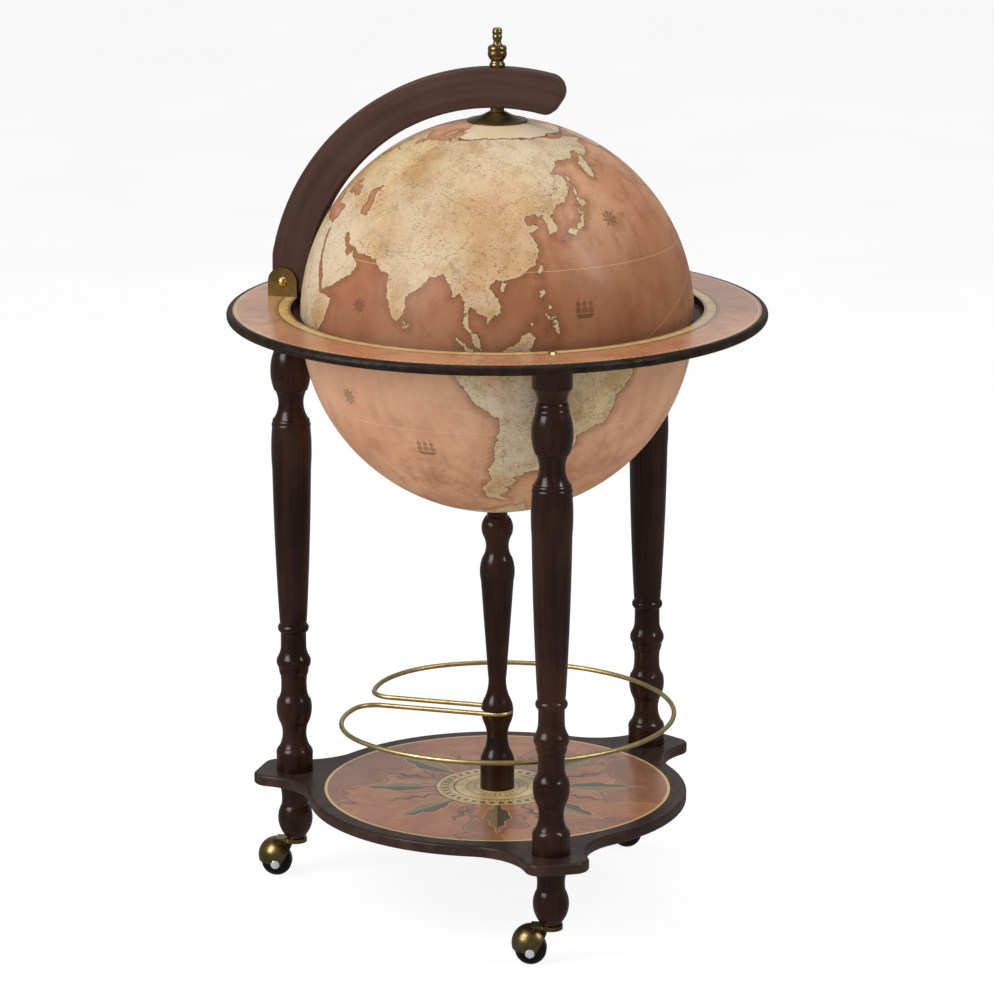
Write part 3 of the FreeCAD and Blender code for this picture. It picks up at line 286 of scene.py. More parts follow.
# coasts as longitude and latitude in degrees, each outline closed
coasts = {
    "eurasia": [
        (-9.5, 38.7), (-9, 43.2), (-1.8, 43.4), (-1.2, 46), (-4.7, 48.4), (-1.5, 48.7), (1.6, 50.9),
        (4, 52), (8.2, 53.8), (8.1, 57), (10.6, 57.7), (10.3, 56), (12.4, 54.4), (18.5, 54.7),
        (21, 55.3), (21.5, 57.5), (24.3, 57.3), (23.5, 59.2), (30, 60), (22.8, 60), (21.4, 61),
        (21.3, 62.8), (25, 65), (21.8, 65.4), (17.5, 62.3), (17.2, 60.7), (18.9, 59.8), (16.5, 57),
        (14.2, 55.4), (12.6, 56.2), (11.2, 59), (8, 58), (5.6, 58.7), (5, 61), (8.5, 63.5), (12.5, 66),
        (15, 68.2), (19, 69.8), (25.7, 71), (30.5, 70), (40, 67.8), (41, 66.6), (34.5, 66.7),
        (37.5, 64), (40.3, 64.6), (40, 66), (44, 66.2), (43.5, 68.4), (48, 67.6), (54, 68.8),
        (60, 68.7), (64.5, 69.3), (68.5, 68.2), (67, 71.5), (69.5, 73), (72.8, 72.8), (72.8, 70.9),
        (73.9, 67.5), (75, 72.8), (80.5, 73.6), (87, 75), (98, 76.2), (104.3, 77.7), (113, 75.8),
        (108, 73.7), (118, 73), (127, 73.5), (129.5, 71), (133, 71.5), (140, 72.6), (150, 71.6),
        (160, 69.7), (170.5, 69), (176, 69.8), (180, 68.9), (190, 66), (187.5, 64.4), (182, 65.4),
        (178.5, 64.5), (177.4, 62.5), (170.5, 60), (164, 59.8), (162, 58), (162.5, 56), (160, 53),
        (156.7, 51), (155.6, 55), (157, 57.8), (161, 60.5), (163.5, 62.5), (159, 61.8), (154.5, 59.4),
        (149, 59.5), (142.5, 59.2), (135.5, 54.7), (140, 54), (141, 52.5), (140.3, 48.5), (135.5, 44.2),
        (131.8, 43.2), (129.7, 41), (127.5, 39.6), (129.4, 37), (129.2, 35.3), (126.4, 34.5),
        (126.6, 37), (125, 38), (124.6, 39.7), (121.3, 39), (121.5, 40.8), (118, 39.1), (119, 37.2),
        (122.5, 37.2), (119.3, 35), (121.8, 31.8), (121.8, 29), (119.5, 25.5), (116.8, 23.2),
        (113.8, 22.2), (110.3, 21.2), (109.8, 20.3), (108.2, 21.6), (106, 20), (105.7, 18.8),
        (108.8, 15.4), (109.3, 12.4), (107, 10.4), (104.9, 8.6), (105, 10.5), (102.5, 12),
        (100.9, 13.4), (100, 13.3), (99.3, 10.5), (100.3, 8), (102.3, 6.2), (103.4, 4), (104.2, 1.4),
        (103.4, 1.3), (101.3, 2.9), (100.4, 5.5), (98.4, 8), (98.6, 12), (97.7, 15.5), (97, 17.2),
        (95.3, 15.8), (94.3, 16.2), (94.3, 18.5), (92.3, 21), (91, 22.6), (88.8, 21.7), (87, 21.3),
        (86.5, 20), (82.3, 16.7), (80.2, 15.7), (80.2, 13), (79.8, 10.3), (78, 8.3), (76.4, 9.5),
        (74.8, 13), (73.3, 17), (72.7, 20), (72.6, 21.4), (70.8, 20.8), (69, 22.3), (67, 24.8),
        (61.6, 25.2), (57.3, 25.7), (56.5, 27), (52.6, 27.6), (50, 30.1), (48, 30), (50, 26.7),
        (51.3, 25.9), (51.6, 24.3), (54, 24.2), (56.2, 26), (56.5, 24.3), (59.8, 22.4), (57.8, 19),
        (55, 17), (52, 15.6), (48.6, 14), (45, 12.8), (43.4, 12.7), (42.7, 16), (39, 21), (37.1, 25),
        (34.9, 28), (35, 29.5), (34.3, 27.8), (32.6, 29.9), (34.3, 31.3), (35.5, 33.9), (36, 36.8),
        (30.6, 36.8), (27.3, 36.8), (26.3, 39.4), (26.2, 40.6), (24, 40.6), (22.7, 40), (24, 37.8),
        (22.8, 36.5), (21.2, 37.5), (19.4, 40.5), (19.4, 42), (16.2, 43.4), (13.7, 45.5), (12.3, 45),
        (13.6, 43.5), (16, 41.9), (18.4, 40), (16.9, 40.4), (16.6, 38.8), (15.7, 38), (15.9, 40),
        (12.3, 41.7), (10.3, 43.8), (8.7, 44.4), (6.5, 43.2), (3.1, 43.2), (3.2, 41.9), (-0.3, 39.3),
        (-0.7, 37.7), (-2.1, 36.8), (-5.6, 36), (-8.9, 37),
    ],
    "africa": [
        (-6, 35.8), (-2, 35.1), (3, 36.9), (10, 37.3), (11, 35.5), (10.2, 34.2), (15, 32.4), (20, 30.8),
        (21.8, 32.9), (25, 31.6), (29, 30.9), (32.3, 31.2), (32.6, 29.9), (35.5, 24), (37.3, 20.8),
        (38.6, 18), (43.2, 12.4), (43.2, 11.5), (51.2, 11.8), (48, 4.5), (42, -1.5), (39.2, -5),
        (40.5, -10.8), (40.6, -15), (35, -19.8), (35.5, -24), (32.8, -26.5), (31, -30), (27, -33.7),
        (20, -34.8), (18.3, -33.8), (16.5, -28.6), (14.5, -22.5), (11.8, -17), (13.7, -11),
        (12.2, -5.8), (8.9, -0.8), (9.7, 3.8), (5.5, 4.4), (1, 6), (-7.5, 4.4), (-13, 8.5),
        (-16.7, 12.5), (-17.4, 14.7), (-16.3, 19), (-17, 21), (-13, 27.8), (-9.8, 30), (-9.3, 32.5),
    ],
    "northAmerica": [
        (-168, 65.6), (-162, 66.5), (-166.5, 68.3), (-156.6, 71.3), (-141, 69.6), (-129, 70),
        (-125, 69.6), (-115, 68.3), (-108, 68), (-97, 68), (-95.5, 71.8), (-90, 69), (-85.5, 69.7),
        (-81.5, 68.8), (-86, 66.5), (-87, 64.5), (-93.5, 61.5), (-94.6, 58.8), (-92.5, 57), (-85, 55.3),
        (-82.3, 53), (-79.5, 51.3), (-79, 54), (-76.7, 57.3), (-78.5, 60), (-77.7, 62.5), (-70, 61),
        (-69.5, 59), (-64.5, 60.2), (-61.5, 56.5), (-55.8, 52.8), (-60, 50.2), (-66.5, 50.2),
        (-64.5, 48.8), (-65, 46.8), (-61, 45.7), (-65.7, 43.6), (-70, 43.8), (-70, 41.7), (-74, 40.6),
        (-75.5, 37.8), (-76, 35.2), (-81.2, 31.5), (-80, 26.8), (-80.6, 25.2), (-82.7, 28), (-84, 30),
        (-89.5, 30.2), (-94.5, 29.5), (-97.4, 27.5), (-97.7, 22.5), (-95.5, 18.7), (-91.5, 18.5),
        (-90.4, 21), (-87, 21.4), (-88.3, 18), (-88.5, 15.9), (-83.3, 15), (-83.7, 11), (-81, 8.9),
        (-77.3, 8.6), (-77.8, 7.4), (-80.3, 7.4), (-83, 8.5), (-85.7, 10.2), (-87.6, 13), (-94, 16.2),
        (-99.7, 16.7), (-105.5, 20.2), (-106.5, 23.5), (-109.5, 26), (-112.5, 29.5), (-114.7, 31.6),
        (-112.5, 27.6), (-109.6, 23), (-112.2, 25), (-115, 28.3), (-117.2, 32.8), (-120.6, 34.6),
        (-122.5, 37.6), (-124.3, 40.4), (-124, 46), (-124.7, 48.3), (-122.6, 48.6), (-127.5, 51),
        (-130.5, 54.5), (-134, 58), (-139.8, 59.7), (-146.5, 60.8), (-151.5, 59.3), (-154, 58.5),
        (-162.5, 55), (-157.5, 58.7), (-164, 60.5), (-165, 62.5), (-161, 64.4),
    ],
    "southAmerica": [
        (-77.3, 8.6), (-75.5, 10.7), (-71.7, 12.3), (-71.4, 11), (-68, 11), (-62, 10.7), (-60, 8.5),
        (-57, 6), (-51.5, 4.3), (-50, 0.5), (-48.5, -1), (-44, -2.6), (-39.5, -3), (-35.2, -5.3),
        (-34.8, -8), (-37, -11), (-39, -13.5), (-39.2, -17.7), (-41, -22), (-44.5, -23), (-48.5, -25.5),
        (-48.7, -28.3), (-52.2, -32.5), (-54.9, -34.9), (-58.3, -34), (-57, -36.4), (-57.7, -38.1),
        (-62.2, -39), (-62.3, -40.8), (-65, -41), (-63.7, -42.6), (-65.3, -44.8), (-67.5, -46.2),
        (-65.8, -47.8), (-69, -51), (-68.3, -52.5), (-65.2, -54.7), (-68.5, -55.5), (-71.5, -53.8),
        (-75, -51), (-75.5, -46.7), (-73, -42), (-73.5, -37.2), (-71.6, -33), (-71.4, -29.5),
        (-70.2, -23), (-70.3, -18.4), (-76.2, -13.9), (-79.8, -7.2), (-81.3, -4.5), (-80.3, -3.3),
        (-81, -2.2), (-80, 0.8), (-77.5, 3), (-77.5, 6.5), (-77.8, 7.4),
    ],
    "australia": [
        (114, -22), (114.2, -26.3), (115.8, -31.8), (115.2, -34.2), (118, -35), (123.5, -33.9),
        (129, -31.7), (134.2, -33), (135.8, -34.8), (138, -33), (138.5, -35.6), (140.6, -38),
        (143.5, -38.8), (147.5, -38), (150, -37.3), (151.3, -33.5), (153.3, -28.5), (152.8, -25.5),
        (149.2, -21.2), (146.2, -18.9), (145.4, -15), (143.5, -14.2), (142.5, -10.8), (141.5, -13.5),
        (140.8, -17.5), (139.3, -17.4), (135.5, -15), (136.8, -12.2), (132.5, -11.4), (130.5, -12.5),
        (129.3, -15), (126.8, -14), (124, -16.5), (122.2, -18.2), (118.8, -20.2),
    ],
    "greenland": [
        (-45, 59.9), (-40.5, 64.7), (-32, 68), (-22, 70.3), (-19, 75), (-17, 80), (-30, 83.4),
        (-48, 82.3), (-60, 81.7), (-68, 79.5), (-72.8, 78.2), (-66.5, 75.9), (-58, 75.5), (-54, 72),
        (-51, 69.5), (-53.5, 66.5), (-50, 62),
    ],
    "baffin": [
        (-80, 73.7), (-72, 71.2), (-67, 69), (-61.5, 66.8), (-64, 63.3), (-71.5, 62.9), (-73.5, 65),
        (-73, 68.3), (-79, 70), (-89, 71), (-89.5, 73.5),
    ],
    "victoria": [(-105, 69), (-101.5, 70), (-105, 73), (-115, 73.3), (-118, 71), (-113, 68.6)],
    "ellesmere": [
        (-77, 76.5), (-78, 79), (-65, 81.6), (-70, 83), (-88, 82), (-91, 79.5), (-89.5, 76.5),
    ],
    "newfoundland": [(-59.3, 47.7), (-55.5, 51.5), (-53, 47.5)],
    "iceland": [(-22.5, 63.9), (-18.7, 63.4), (-13.6, 65), (-16, 66.5), (-22.5, 66.3), (-24.3, 65.5)],
    "britain": [
        (-5.2, 50), (1.3, 51.2), (1.7, 52.7), (0, 53.5), (-2, 55.8), (-2, 57.6), (-4, 57.7),
        (-3.1, 58.6), (-5, 58.5), (-5.7, 56.5), (-3, 54.5), (-4.6, 53.2), (-5, 51.8), (-3, 51.3),
    ],
    "ireland": [(-6, 52.2), (-6, 54), (-7.5, 55.3), (-10, 54.2), (-10, 52)],
    "novayaZemlya": [(51.5, 71.5), (55, 75), (68, 76.9), (60, 74), (57.5, 70.7)],
    "svalbard": [(12, 78), (14, 79.7), (25, 80), (20, 77.8), (16, 76.7)],
    "cuba": [(-84.9, 21.9), (-82, 23.2), (-77, 21.5), (-74.3, 20.2), (-77.6, 19.9), (-80.5, 22)],
    "hispaniola": [(-74.4, 18.5), (-72.8, 19.9), (-68.5, 18.6), (-71.2, 17.7)],
    "madagascar": [
        (49.3, -12.1), (50.4, -15.7), (47.2, -24.8), (45, -25.4), (43.5, -22), (44.4, -16.3),
        (47.5, -15),
    ],
    "sriLanka": [(79.8, 8.5), (80.2, 9.7), (81.8, 7.5), (81, 6.1), (80, 6.2)],
    "sumatra": [
        (95.3, 5.6), (98.5, 3.8), (103.8, -1), (106, -3.2), (105.8, -5.8), (102.3, -4), (98.7, 1.7),
    ],
    "java": [(105.2, -6.8), (108.5, -6.6), (112.7, -7), (114.5, -8.4), (108.5, -7.8)],
    "borneo": [
        (109, 1.7), (111.4, 2.6), (115.2, 5.4), (117, 7), (119, 5), (117.6, 2), (117.5, -0.8),
        (116, -4), (110.2, -2.9),
    ],
    "sulawesi": [
        (119.5, -5.5), (119.4, -2), (120.1, 1), (125, 1.5), (121, 0.4), (121.3, -1), (123.3, -1),
        (122, -2), (122.4, -4.5), (120.9, -3), (120.4, -5.5),
    ],
    "newGuinea": [
        (131, -0.8), (134.2, -0.8), (135.2, -3.3), (141, -2.6), (145.8, -5.4), (147.8, -6.4),
        (150.6, -10.4), (147, -9.5), (143.5, -8.5), (138.5, -8.2), (138, -5.8), (133, -4),
    ],
    "luzon": [
        (120.4, 16), (120.8, 18.5), (122.2, 18.4), (121.5, 15), (124, 13), (122, 13.8), (120.6, 14),
    ],
    "visayas": [(122, 11.6), (123.2, 11.2), (124.9, 11.5), (125.2, 10.2), (123, 9.2), (122.1, 10.4)],
    "mindanao": [(122, 7), (123.5, 8.6), (125.5, 9.7), (126.4, 7.4), (125.4, 5.8), (124, 7.2)],
    "palawan": [(117.2, 8.4), (119.4, 11.2), (119.6, 10.6), (117.6, 8.3)],
    "taiwan": [(120.1, 23), (121.5, 25.2), (122, 25), (120.9, 22)],
    "hainan": [(108.7, 19), (109.5, 20), (111, 19.8), (109.6, 18.2)],
    "honshu": [
        (130.9, 34), (133, 35.5), (136, 35.7), (137.2, 37), (138.8, 37.8), (140, 39.8), (140.4, 41.2),
        (141.8, 39.8), (140.9, 36.8), (140.3, 35.2), (137, 34.6), (135.7, 33.5), (132.3, 34),
    ],
    "kyushu": [(129.8, 33), (131.8, 33.6), (131.3, 31.3), (130.2, 31.3)],
    "shikoku": [(132.5, 33.8), (134.4, 34.2), (133.8, 33.4), (132.8, 32.8)],
    "hokkaido": [(140, 41.6), (140.5, 43.3), (141.8, 45.3), (145.3, 44.2), (143.3, 42), (141, 42.5)],
    "sakhalin": [(142, 46), (142, 54), (143, 53), (143.5, 49.5), (142.8, 47.3)],
    "northIsland": [
        (172.7, -34.5), (175.5, -36.8), (178.4, -37.7), (177, -39.5), (175.2, -41.5), (173.8, -39.3),
    ],
    "southIsland": [
        (172.7, -40.6), (174.2, -41.7), (171, -44.5), (170.6, -46), (168.4, -46.6), (166.5, -45.8),
        (168.5, -44),
    ],
}
# old maps draw this land too broad
coasts["southAmerica"] = [(1.18 * lon + 12.3, lat) for lon, lat in coasts["southAmerica"]]
inlandSeas = {
    "black": [
        (28, 42), (29, 41.2), (31.5, 41.2), (35, 42), (38.5, 41), (41.5, 41.6), (39, 44), (36.7, 45.2),
        (33.5, 44.5), (33, 46), (30.7, 46.4), (28.7, 44),
    ],
    "caspian": [
        (49.3, 46.4), (47, 44.5), (47.5, 43), (49.5, 41), (49, 38.5), (51, 36.8), (53.8, 37),
        (53.5, 40), (52.8, 42), (51, 44.5), (53, 46.8),
    ],
}
southShore = [      # edge of the land round the south pole
    (-180, -78), (-150, -77), (-130, -74), (-100, -73), (-75, -72), (-62, -64.5), (-57, -63.3),
    (-61, -68), (-45, -78), (-25, -74), (0, -70), (35, -69), (50, -66.5), (70, -68.5), (90, -66.5),
    (110, -66), (130, -66), (150, -68.5), (170, -71.5), (180, -78),
]


def insideBy(outline, lon, lat):
    # degrees by which each spot lies inside an outline, negative outside
    corners = np.array(outline, float)
    middle = (corners[:, 0].min() + corners[:, 0].max()) / 2
    lon = (lon - middle + 180) % 360 - 180 + middle
    shrink = np.cos(np.radians(lat))
    nearest = np.full(lon.shape, 1e9)
    inside = np.zeros(lon.shape, bool)
    for (startLon, startLat), (endLon, endLat) in zip(corners, np.roll(corners, -1, axis=0)):
        crosses = (startLat > lat) != (endLat > lat)
        if endLat != startLat:
            meeting = (endLon - startLon) * (lat - startLat) / (endLat - startLat) + startLon
            inside ^= crosses & (lon < meeting)
        alongX, alongY = (endLon - startLon) * shrink, endLat - startLat
        offX, offY = (lon - startLon) * shrink, lat - startLat
        share = np.clip((offX * alongX + offY * alongY) / (alongX ** 2 + alongY ** 2 + 1e-9), 0, 1)
        nearest = np.minimum(nearest, np.hypot(offX - share * alongX, offY - share * alongY))
    return np.where(inside, nearest, -nearest)


chart = {"southLift": 6, "southSlope": 0.8, "reach": 12, "sideDepth": 150.0}


def coastDistance(lon, lat):
    # degrees from the nearest coast, above 0 on land, kept within the chart's reach
    depth = np.full(lon.shape, -90.0)
    for outline in coasts.values():
        depth = np.maximum(depth, insideBy(outline, lon, lat))
    for outline in inlandSeas.values():
        depth = np.minimum(depth, -insideBy(outline, lon, lat))
    shore = np.array(sorted(southShore), float)
    south = np.interp((lon + 180) % 360 - 180, shore[:, 0], shore[:, 1]) + chart["southLift"]
    depth = np.maximum(depth, (south - lat) * chart["southSlope"])
    return np.clip(depth, -chart["reach"], chart["reach"])


def nearSpot(place, mid, azimuth, lat, size=1.0):
    # millimetres east and north of one spot on the globe, over a size, and a mask of its side of the globe
    azimuth, lat = math.radians(azimuth), math.radians(lat)
    out = Vector((math.cos(lat) * math.cos(azimuth), math.cos(lat) * math.sin(azimuth), math.sin(lat)))
    east = Vector((-math.sin(azimuth), math.cos(azimuth), 0))
    offset = place.vector("SUBTRACT", (0, 0, mid))
    aside, above, outward = (offset.vector("DOT_PRODUCT", tuple(axis), output="Value") * 1000
                             for axis in (east, out.cross(east), out))
    return aside / size, above / size, outward > chart["sideDepth"]


rose = {"points": 8, "inner": 0.01, "knee": 2.2, "outer": 7.5, "width": 1.5}
roseRing = {"middle": 4.6, "half": 0.16, "soft": 0.2}


def inkRose(aside, above, side):
    # a compass rose of eight points in a ring
    ray, half = star(aside, above, **rose)[:2]
    circle = ((aside * aside + above * above) ** 0.5).near(**roseRing)
    return (ray * (half * 0.6 + 0.4) + circle * 0.6).math("MINIMUM", 1.0) * side


ship = {
    "hull": (-4.4, -2.3, 0.15), "halfHull": 7.6, "flare": 0.9,
    "rig": 5.3, "mastGap": 3.6, "masts": (-2.6, 5.8, 0.2), "halfMast": 0.2,
    "lowSails": (-1.6, 1.3, 0.15), "topSails": (1.9, 4.2, 0.15), "halfSail": 1.55, "taper": 0.12,
}


def inkShip(aside, above, side):
    # a hull, three masts and two rows of square sails
    gap = ship["mastGap"]
    hull = (abs(aside) < above * ship["flare"] + ship["halfHull"]) * above.band(*ship["hull"])
    column = ((aside + 1.5 * gap) / gap).math("FRACT") * gap - gap / 2
    rows = above.band(*ship["lowSails"]) + above.band(*ship["topSails"])
    rigged = abs(aside) < ship["rig"]
    sails = (abs(column) < ship["halfSail"] - above * ship["taper"]) * rows * rigged
    masts = (abs(column) < ship["halfMast"]) * rigged * above.band(*ship["masts"])
    return (hull + sails * 0.75 + masts).math("MINIMUM", 1.0) * side


def makeMap(name, mid, eclipticStart, figures, paintedShading, tints, iceCap):
    # the varnished print of the world on one half of the globe
    material, place, shader = newFinish(name, Coat_Roughness=0.2, Specular_IOR_Level=0.15)
    x, y, z = place.parts()
    lat = ((z - mid) / globe["radius"]).math("ARCSINE") * (180 / math.pi)
    azimuth = y.math("ARCTAN2", x)
    lon = azimuth * (180 / math.pi)
    coast = place.node("ShaderNodeAttribute", {"attribute_name": "coast"}, output="Fac")
    shore = coast + (place.noise(70, 4, 0.6) - 0.5) * 3.2 + (place.noise(330, 3, 0.6) - 0.5) * 1.6
    onLand = shore.step(-0.05, 0.08)
    ocean = agedPaper(place, sea["deep"], sea["mid"], sea["pale"], sea["stain"])
    # painted shading: each half's sea is blended lighter towards its top and darker towards its bottom by
    # latitude
    ocean = (lat.step(*paintedShading["from"]) * paintedShading["share"]).mix(ocean, paintedShading["to"])
    ocean = (shore.step(-2.8, -0.2) * (1 - onLand) * 0.4).mix(ocean, sea["stain"])
    for draw, spots in figures.items():
        for spot in spots:
            ocean = (draw(*nearSpot(place, mid, *spot)) * 0.62).mix(ocean, land["ink"])
    # land: cream paper, tinted realms with dotted borders, rivers, hills and small ink marks
    warp = place.node("ShaderNodeTexNoise", None, {"Vector": place, "Scale": 22, "Detail": 4}, "Color")
    shift = warp.vector("SUBTRACT", (0.5, 0.5, 0.5)).vector("MULTIPLY", (0.06, 0.06, 0.06))
    cells = {"Vector": place.vector("ADD", shift), "Scale": 13}
    edge = place.node("ShaderNodeTexVoronoi", {"feature": "DISTANCE_TO_EDGE"}, cells)
    ground = overlay(place, land["cream"], (
        (16, 4, 0.6, 0.36, 0.66, 1.0, land["tan"]),
        (6, 3, 0.5, 0.5, 0.64, 0.8, land["pale"]),
        (9, 4, 0.55, 0.53, 0.66, 0.6, land["rose"]),
        (55, 5, 0.7, 0.46, 0.66, 0.55, land["tan"]),
        (240, 3, 0.6, 0.52, 0.72, 0.35, land["tan"]),
    ))
    for spot, reach, hue, share in tints:
        aside, above, side = nearSpot(place, mid, *spot)
        tint = 1 - ((aside * aside + above * above) ** 0.5).step(reach * 0.3, reach)
        ground = (tint * side * share).mix(ground, land[hue])
    dots = place.noise(800, 1, 0.5).step(0.47, 0.56)
    ground = ((1 - edge.step(0.006, 0.014)) * dots * 0.4).mix(ground, land["ink"])
    river = abs(place.noise(34, 3, 0.55) - 0.5)
    ground = ((1 - river.step(0.002, 0.006)) * 0.3).mix(ground, land["ink"])
    marks = x.join(lon * 0.5, lat * 1.5, 0.0).noise(1.5, 2, 0.55).step(0.6, 0.66)
    ground = (marks * place.noise(26, 2).step(0.36, 0.56) * 0.62).mix(ground, land["ink"])
    hills = place.noise(300, 2, 0.5).step(0.6, 0.67) * place.noise(18, 3).step(0.5, 0.62)
    ground = (hills * 0.5).mix(ground, land["ink"])
    ground = ((1 - shore.step(0.2, 1.0)) * 0.5).mix(ground, land["cream"])
    colour = onLand.mix(ocean, ground)
    coastInk = 1 - abs(shore - 0.02).step(0.06, 0.2)
    colour = (coastInk * 0.7).mix(colour, land["ink"])
    if iceCap:
        # pale land round the pole on the side away from the arm's hinge
        frost = lat + (place.noise(40, 4, 0.6) - 0.5) * 7
        wander = azimuth + (place.noise(48, 4, 0.6) - 0.5) * 1.1
        facing = (wander - math.radians(iceCap["middle"])).math("COSINE")
        facing = facing.step(iceCap["turn"], iceCap["turn"] + 0.03)
        ice = place.noise(26, 4).step(0.4, 0.7).mix(land["pale"], land["cream"])
        colour = (frost.step(iceCap["lat"], iceCap["lat"] + 0.2) * facing).mix(colour, ice)
        colour = (frost.near(iceCap["lat"], 0.22, 0.3) * facing * 0.75).mix(colour, land["ink"])
    # circles of the globe: tropics, polar circles, slanted sun path, faint meridians and parallels
    circles = sum((lat.near(level, 0.045, 0.09) for level in (-66.5, -23.5, 23.5, 66.5)), start=0.0)
    start = math.radians(eclipticStart)
    tilt = math.radians(23.5)
    first = Vector((math.cos(start), math.sin(start), 0))
    second = Vector((-math.sin(start) * math.cos(tilt), math.cos(start) * math.cos(tilt), math.sin(tilt)))
    across = tuple(first.cross(second))
    slope = place.vector("SUBTRACT", (0, 0, mid)).vector("DOT_PRODUCT", across, output="Value")
    circles = (circles + slope.near(0, 0.00016, 0.0003)).math("MINIMUM", 1.0)
    colour = (circles * (0.6 - onLand * 0.5)).mix(colour, land["line"])
    meridian = abs((lon / 15).math("FRACT") - 0.5)
    parallel = abs((lat / 15).math("FRACT") - 0.5)
    grid = meridian.step(0.495, 0.499) * (abs(lat) < 80.0) + parallel.step(0.4935, 0.4975)
    colour = (grid.math("MINIMUM", 1.0) * 0.13).mix(colour, land["ink"])
    place.feed(shader.inputs["Base Color"], colour)
    place.feed(shader.inputs["Roughness"], 0.36 + place.noise(45, 3) * 0.14)
    place.feed(shader.inputs["Coat Weight"], 0.06 + place.noise(12, 2) * 0.1)
    place.feed(shader.inputs["Normal"], relief(place.noise(420, 3) * 0.6 + onLand * 0.4, 0.00015, 0.15))
    return material


def makeLining():
    # aged paper inside both halves, with gilt dots
    material, place, shader = newFinish("dottedLining", Specular_IOR_Level=0.4)
    ground = agedPaper(place, tone(88, 52, 34), tone(114, 72, 48), tone(138, 92, 62), tone(64, 36, 24))
    dots = place.node("ShaderNodeTexVoronoi", {"feature": "F1"}, {"Vector": place, "Scale": 42})
    gilt = 1 - dots.step(0.1, 0.125)
    colour = (gilt * 0.9).mix(ground, tone(214, 176, 100))
    place.feed(shader.inputs["Base Color"], colour)
    place.feed(shader.inputs["Roughness"], 0.5 + place.noise(60, 3) * 0.2 - gilt * 0.15)
    place.feed(shader.inputs["Normal"], relief(place.noise(500, 3), 0.0002, 0.12))
    return material


softAngle = math.radians(40)      # edges flatter than this are shaded smooth


def deleteSpots(piece, test):
    # removes the vertices that pass a test
    mesh = piece.data
    spots = np.empty(len(mesh.vertices) * 3)
    mesh.vertices.foreach_get("co", spots)
    mesh.polygons.foreach_set("select", np.zeros(len(mesh.polygons), bool))
    mesh.edges.foreach_set("select", np.zeros(len(mesh.edges), bool))
    mesh.vertices.foreach_set("select", test(spots.reshape(-1, 3)))
    bpy.context.tool_settings.mesh_select_mode = (True, False, False)
    bpy.ops.object.mode_set(mode="EDIT")
    bpy.ops.mesh.delete(type="VERT")
    bpy.ops.object.mode_set(mode="OBJECT")


def begin(name, add, **settings):
    # adds a primitive with nothing else selected and puts its place into its mesh
    bpy.ops.object.select_all(action="DESELECT")
    add(**settings)
    piece = bpy.context.object
    piece.name = name
    bpy.ops.object.transform_apply(location=True, rotation=True, scale=True)
    return piece


def makeGlobeHalf(name, mid, side, hole, turn, finishes):
    piece = begin(name, bpy.ops.mesh.primitive_uv_sphere_add, segments=globe["segments"],
                  ring_count=globe["rings"], radius=globe["radius"], location=(0, 0, mid))
    deleteSpots(piece, lambda spots: side * (spots[:, 2] - mid) < -1e-5)
    deleteSpots(piece, lambda spots: np.hypot(spots[:, 0], spots[:, 1]) < hole)
    spots = np.empty(len(piece.data.vertices) * 3)
    piece.data.vertices.foreach_get("co", spots)
    x, y, z = spots.reshape(-1, 3).T
    lon = np.degrees(np.arctan2(y, x)) - turn
    lat = np.degrees(np.arcsin(np.clip((z - mid) / globe["radius"], -1, 1)))
    coast = piece.data.attributes.new("coast", "FLOAT", "POINT")
    coast.data.foreach_set("value", coastDistance(lon, lat).astype(np.float32))
    wall = piece.modifiers.new("wall", "SOLIDIFY")
    wall.thickness = globe["wall"]
    wall.offset = -1
    wall.material_offset = 1
    wall.material_offset_rim = 2
    for finish in finishes:
        piece.data.materials.append(finish)
    bpy.ops.object.modifier_apply(modifier="wall")
    bpy.ops.object.shade_smooth_by_angle(angle=softAngle)
    return piece


def spun(name, profile, segments, centre=(0, 0)):
    # a ring turned from a closed outline of radius and height
    piece = begin(name, bpy.ops.mesh.primitive_circle_add, vertices=len(profile), radius=0.01)
    for vertex, (radius, height) in zip(piece.data.vertices, profile):
        vertex.co = (centre[0] + radius, centre[1], height)
    bpy.ops.object.mode_set(mode="EDIT")
    bpy.ops.mesh.select_all(action="SELECT")
    bpy.ops.mesh.spin(steps=segments, angle=math.tau, center=(*centre, 0), axis=(0, 0, 1))
    bpy.ops.mesh.select_all(action="SELECT")
    bpy.ops.mesh.remove_doubles(threshold=1e-6)
    bpy.ops.mesh.normals_make_consistent(inside=False)
    bpy.ops.object.mode_set(mode="OBJECT")
    bpy.ops.object.shade_smooth_by_angle(angle=softAngle)
    return piece


darkWood = makeWood("darkWood", wood["dark"], wood["mid"], wood["light"], 0.2, 0.55)
armWood = makeWood("armWood", tone(66, 47, 40), tone(80, 58, 50), tone(90, 64, 55), 0.42, 0.06, armGrain)
brass = makeMetal("agedBrass", metal["brassLight"], metal["brassMid"], metal["brassDark"], 0.2, 0.6)
railBrass = makeMetal("railBrass", tone(220, 202, 148), tone(198, 178, 122), tone(128, 108, 68), 0.3, 0.25)
capBrass = makeMetal("capBrass", tone(226, 210, 178), tone(206, 186, 146), tone(140, 116, 76), 0.12, 0.2)
darkBrass = makeMetal("darkBrass", tone(128, 106, 62), tone(98, 78, 44), tone(50, 38, 20), 0.3, 0.7)
pinBrass = makeMetal("pinBrass", tone(222, 190, 112), tone(196, 160, 86), tone(116, 86, 40), 0.14, 0.25)
steel = makeMetal("plainSteel", metal["steel"], metal["steel"], metal["steelDark"], 0.22, 0.3)
# painted reflection: the axle cap is about half plain white under its metal, so it reads as bright silver
axleCap = makeMetal("axleCap", tone(236, 236, 238), tone(214, 214, 218), metal["steelDark"], 0.16, 0.3,
                    metallic=0.45)
rubber = makeRubber("blackWheel")
lining = makeLining()
rimWood = makeWood("rimWood", tone(40, 22, 15), tone(66, 38, 26), tone(90, 56, 40), 0.35, 0.12)
print("wood, metal and lining mixed")

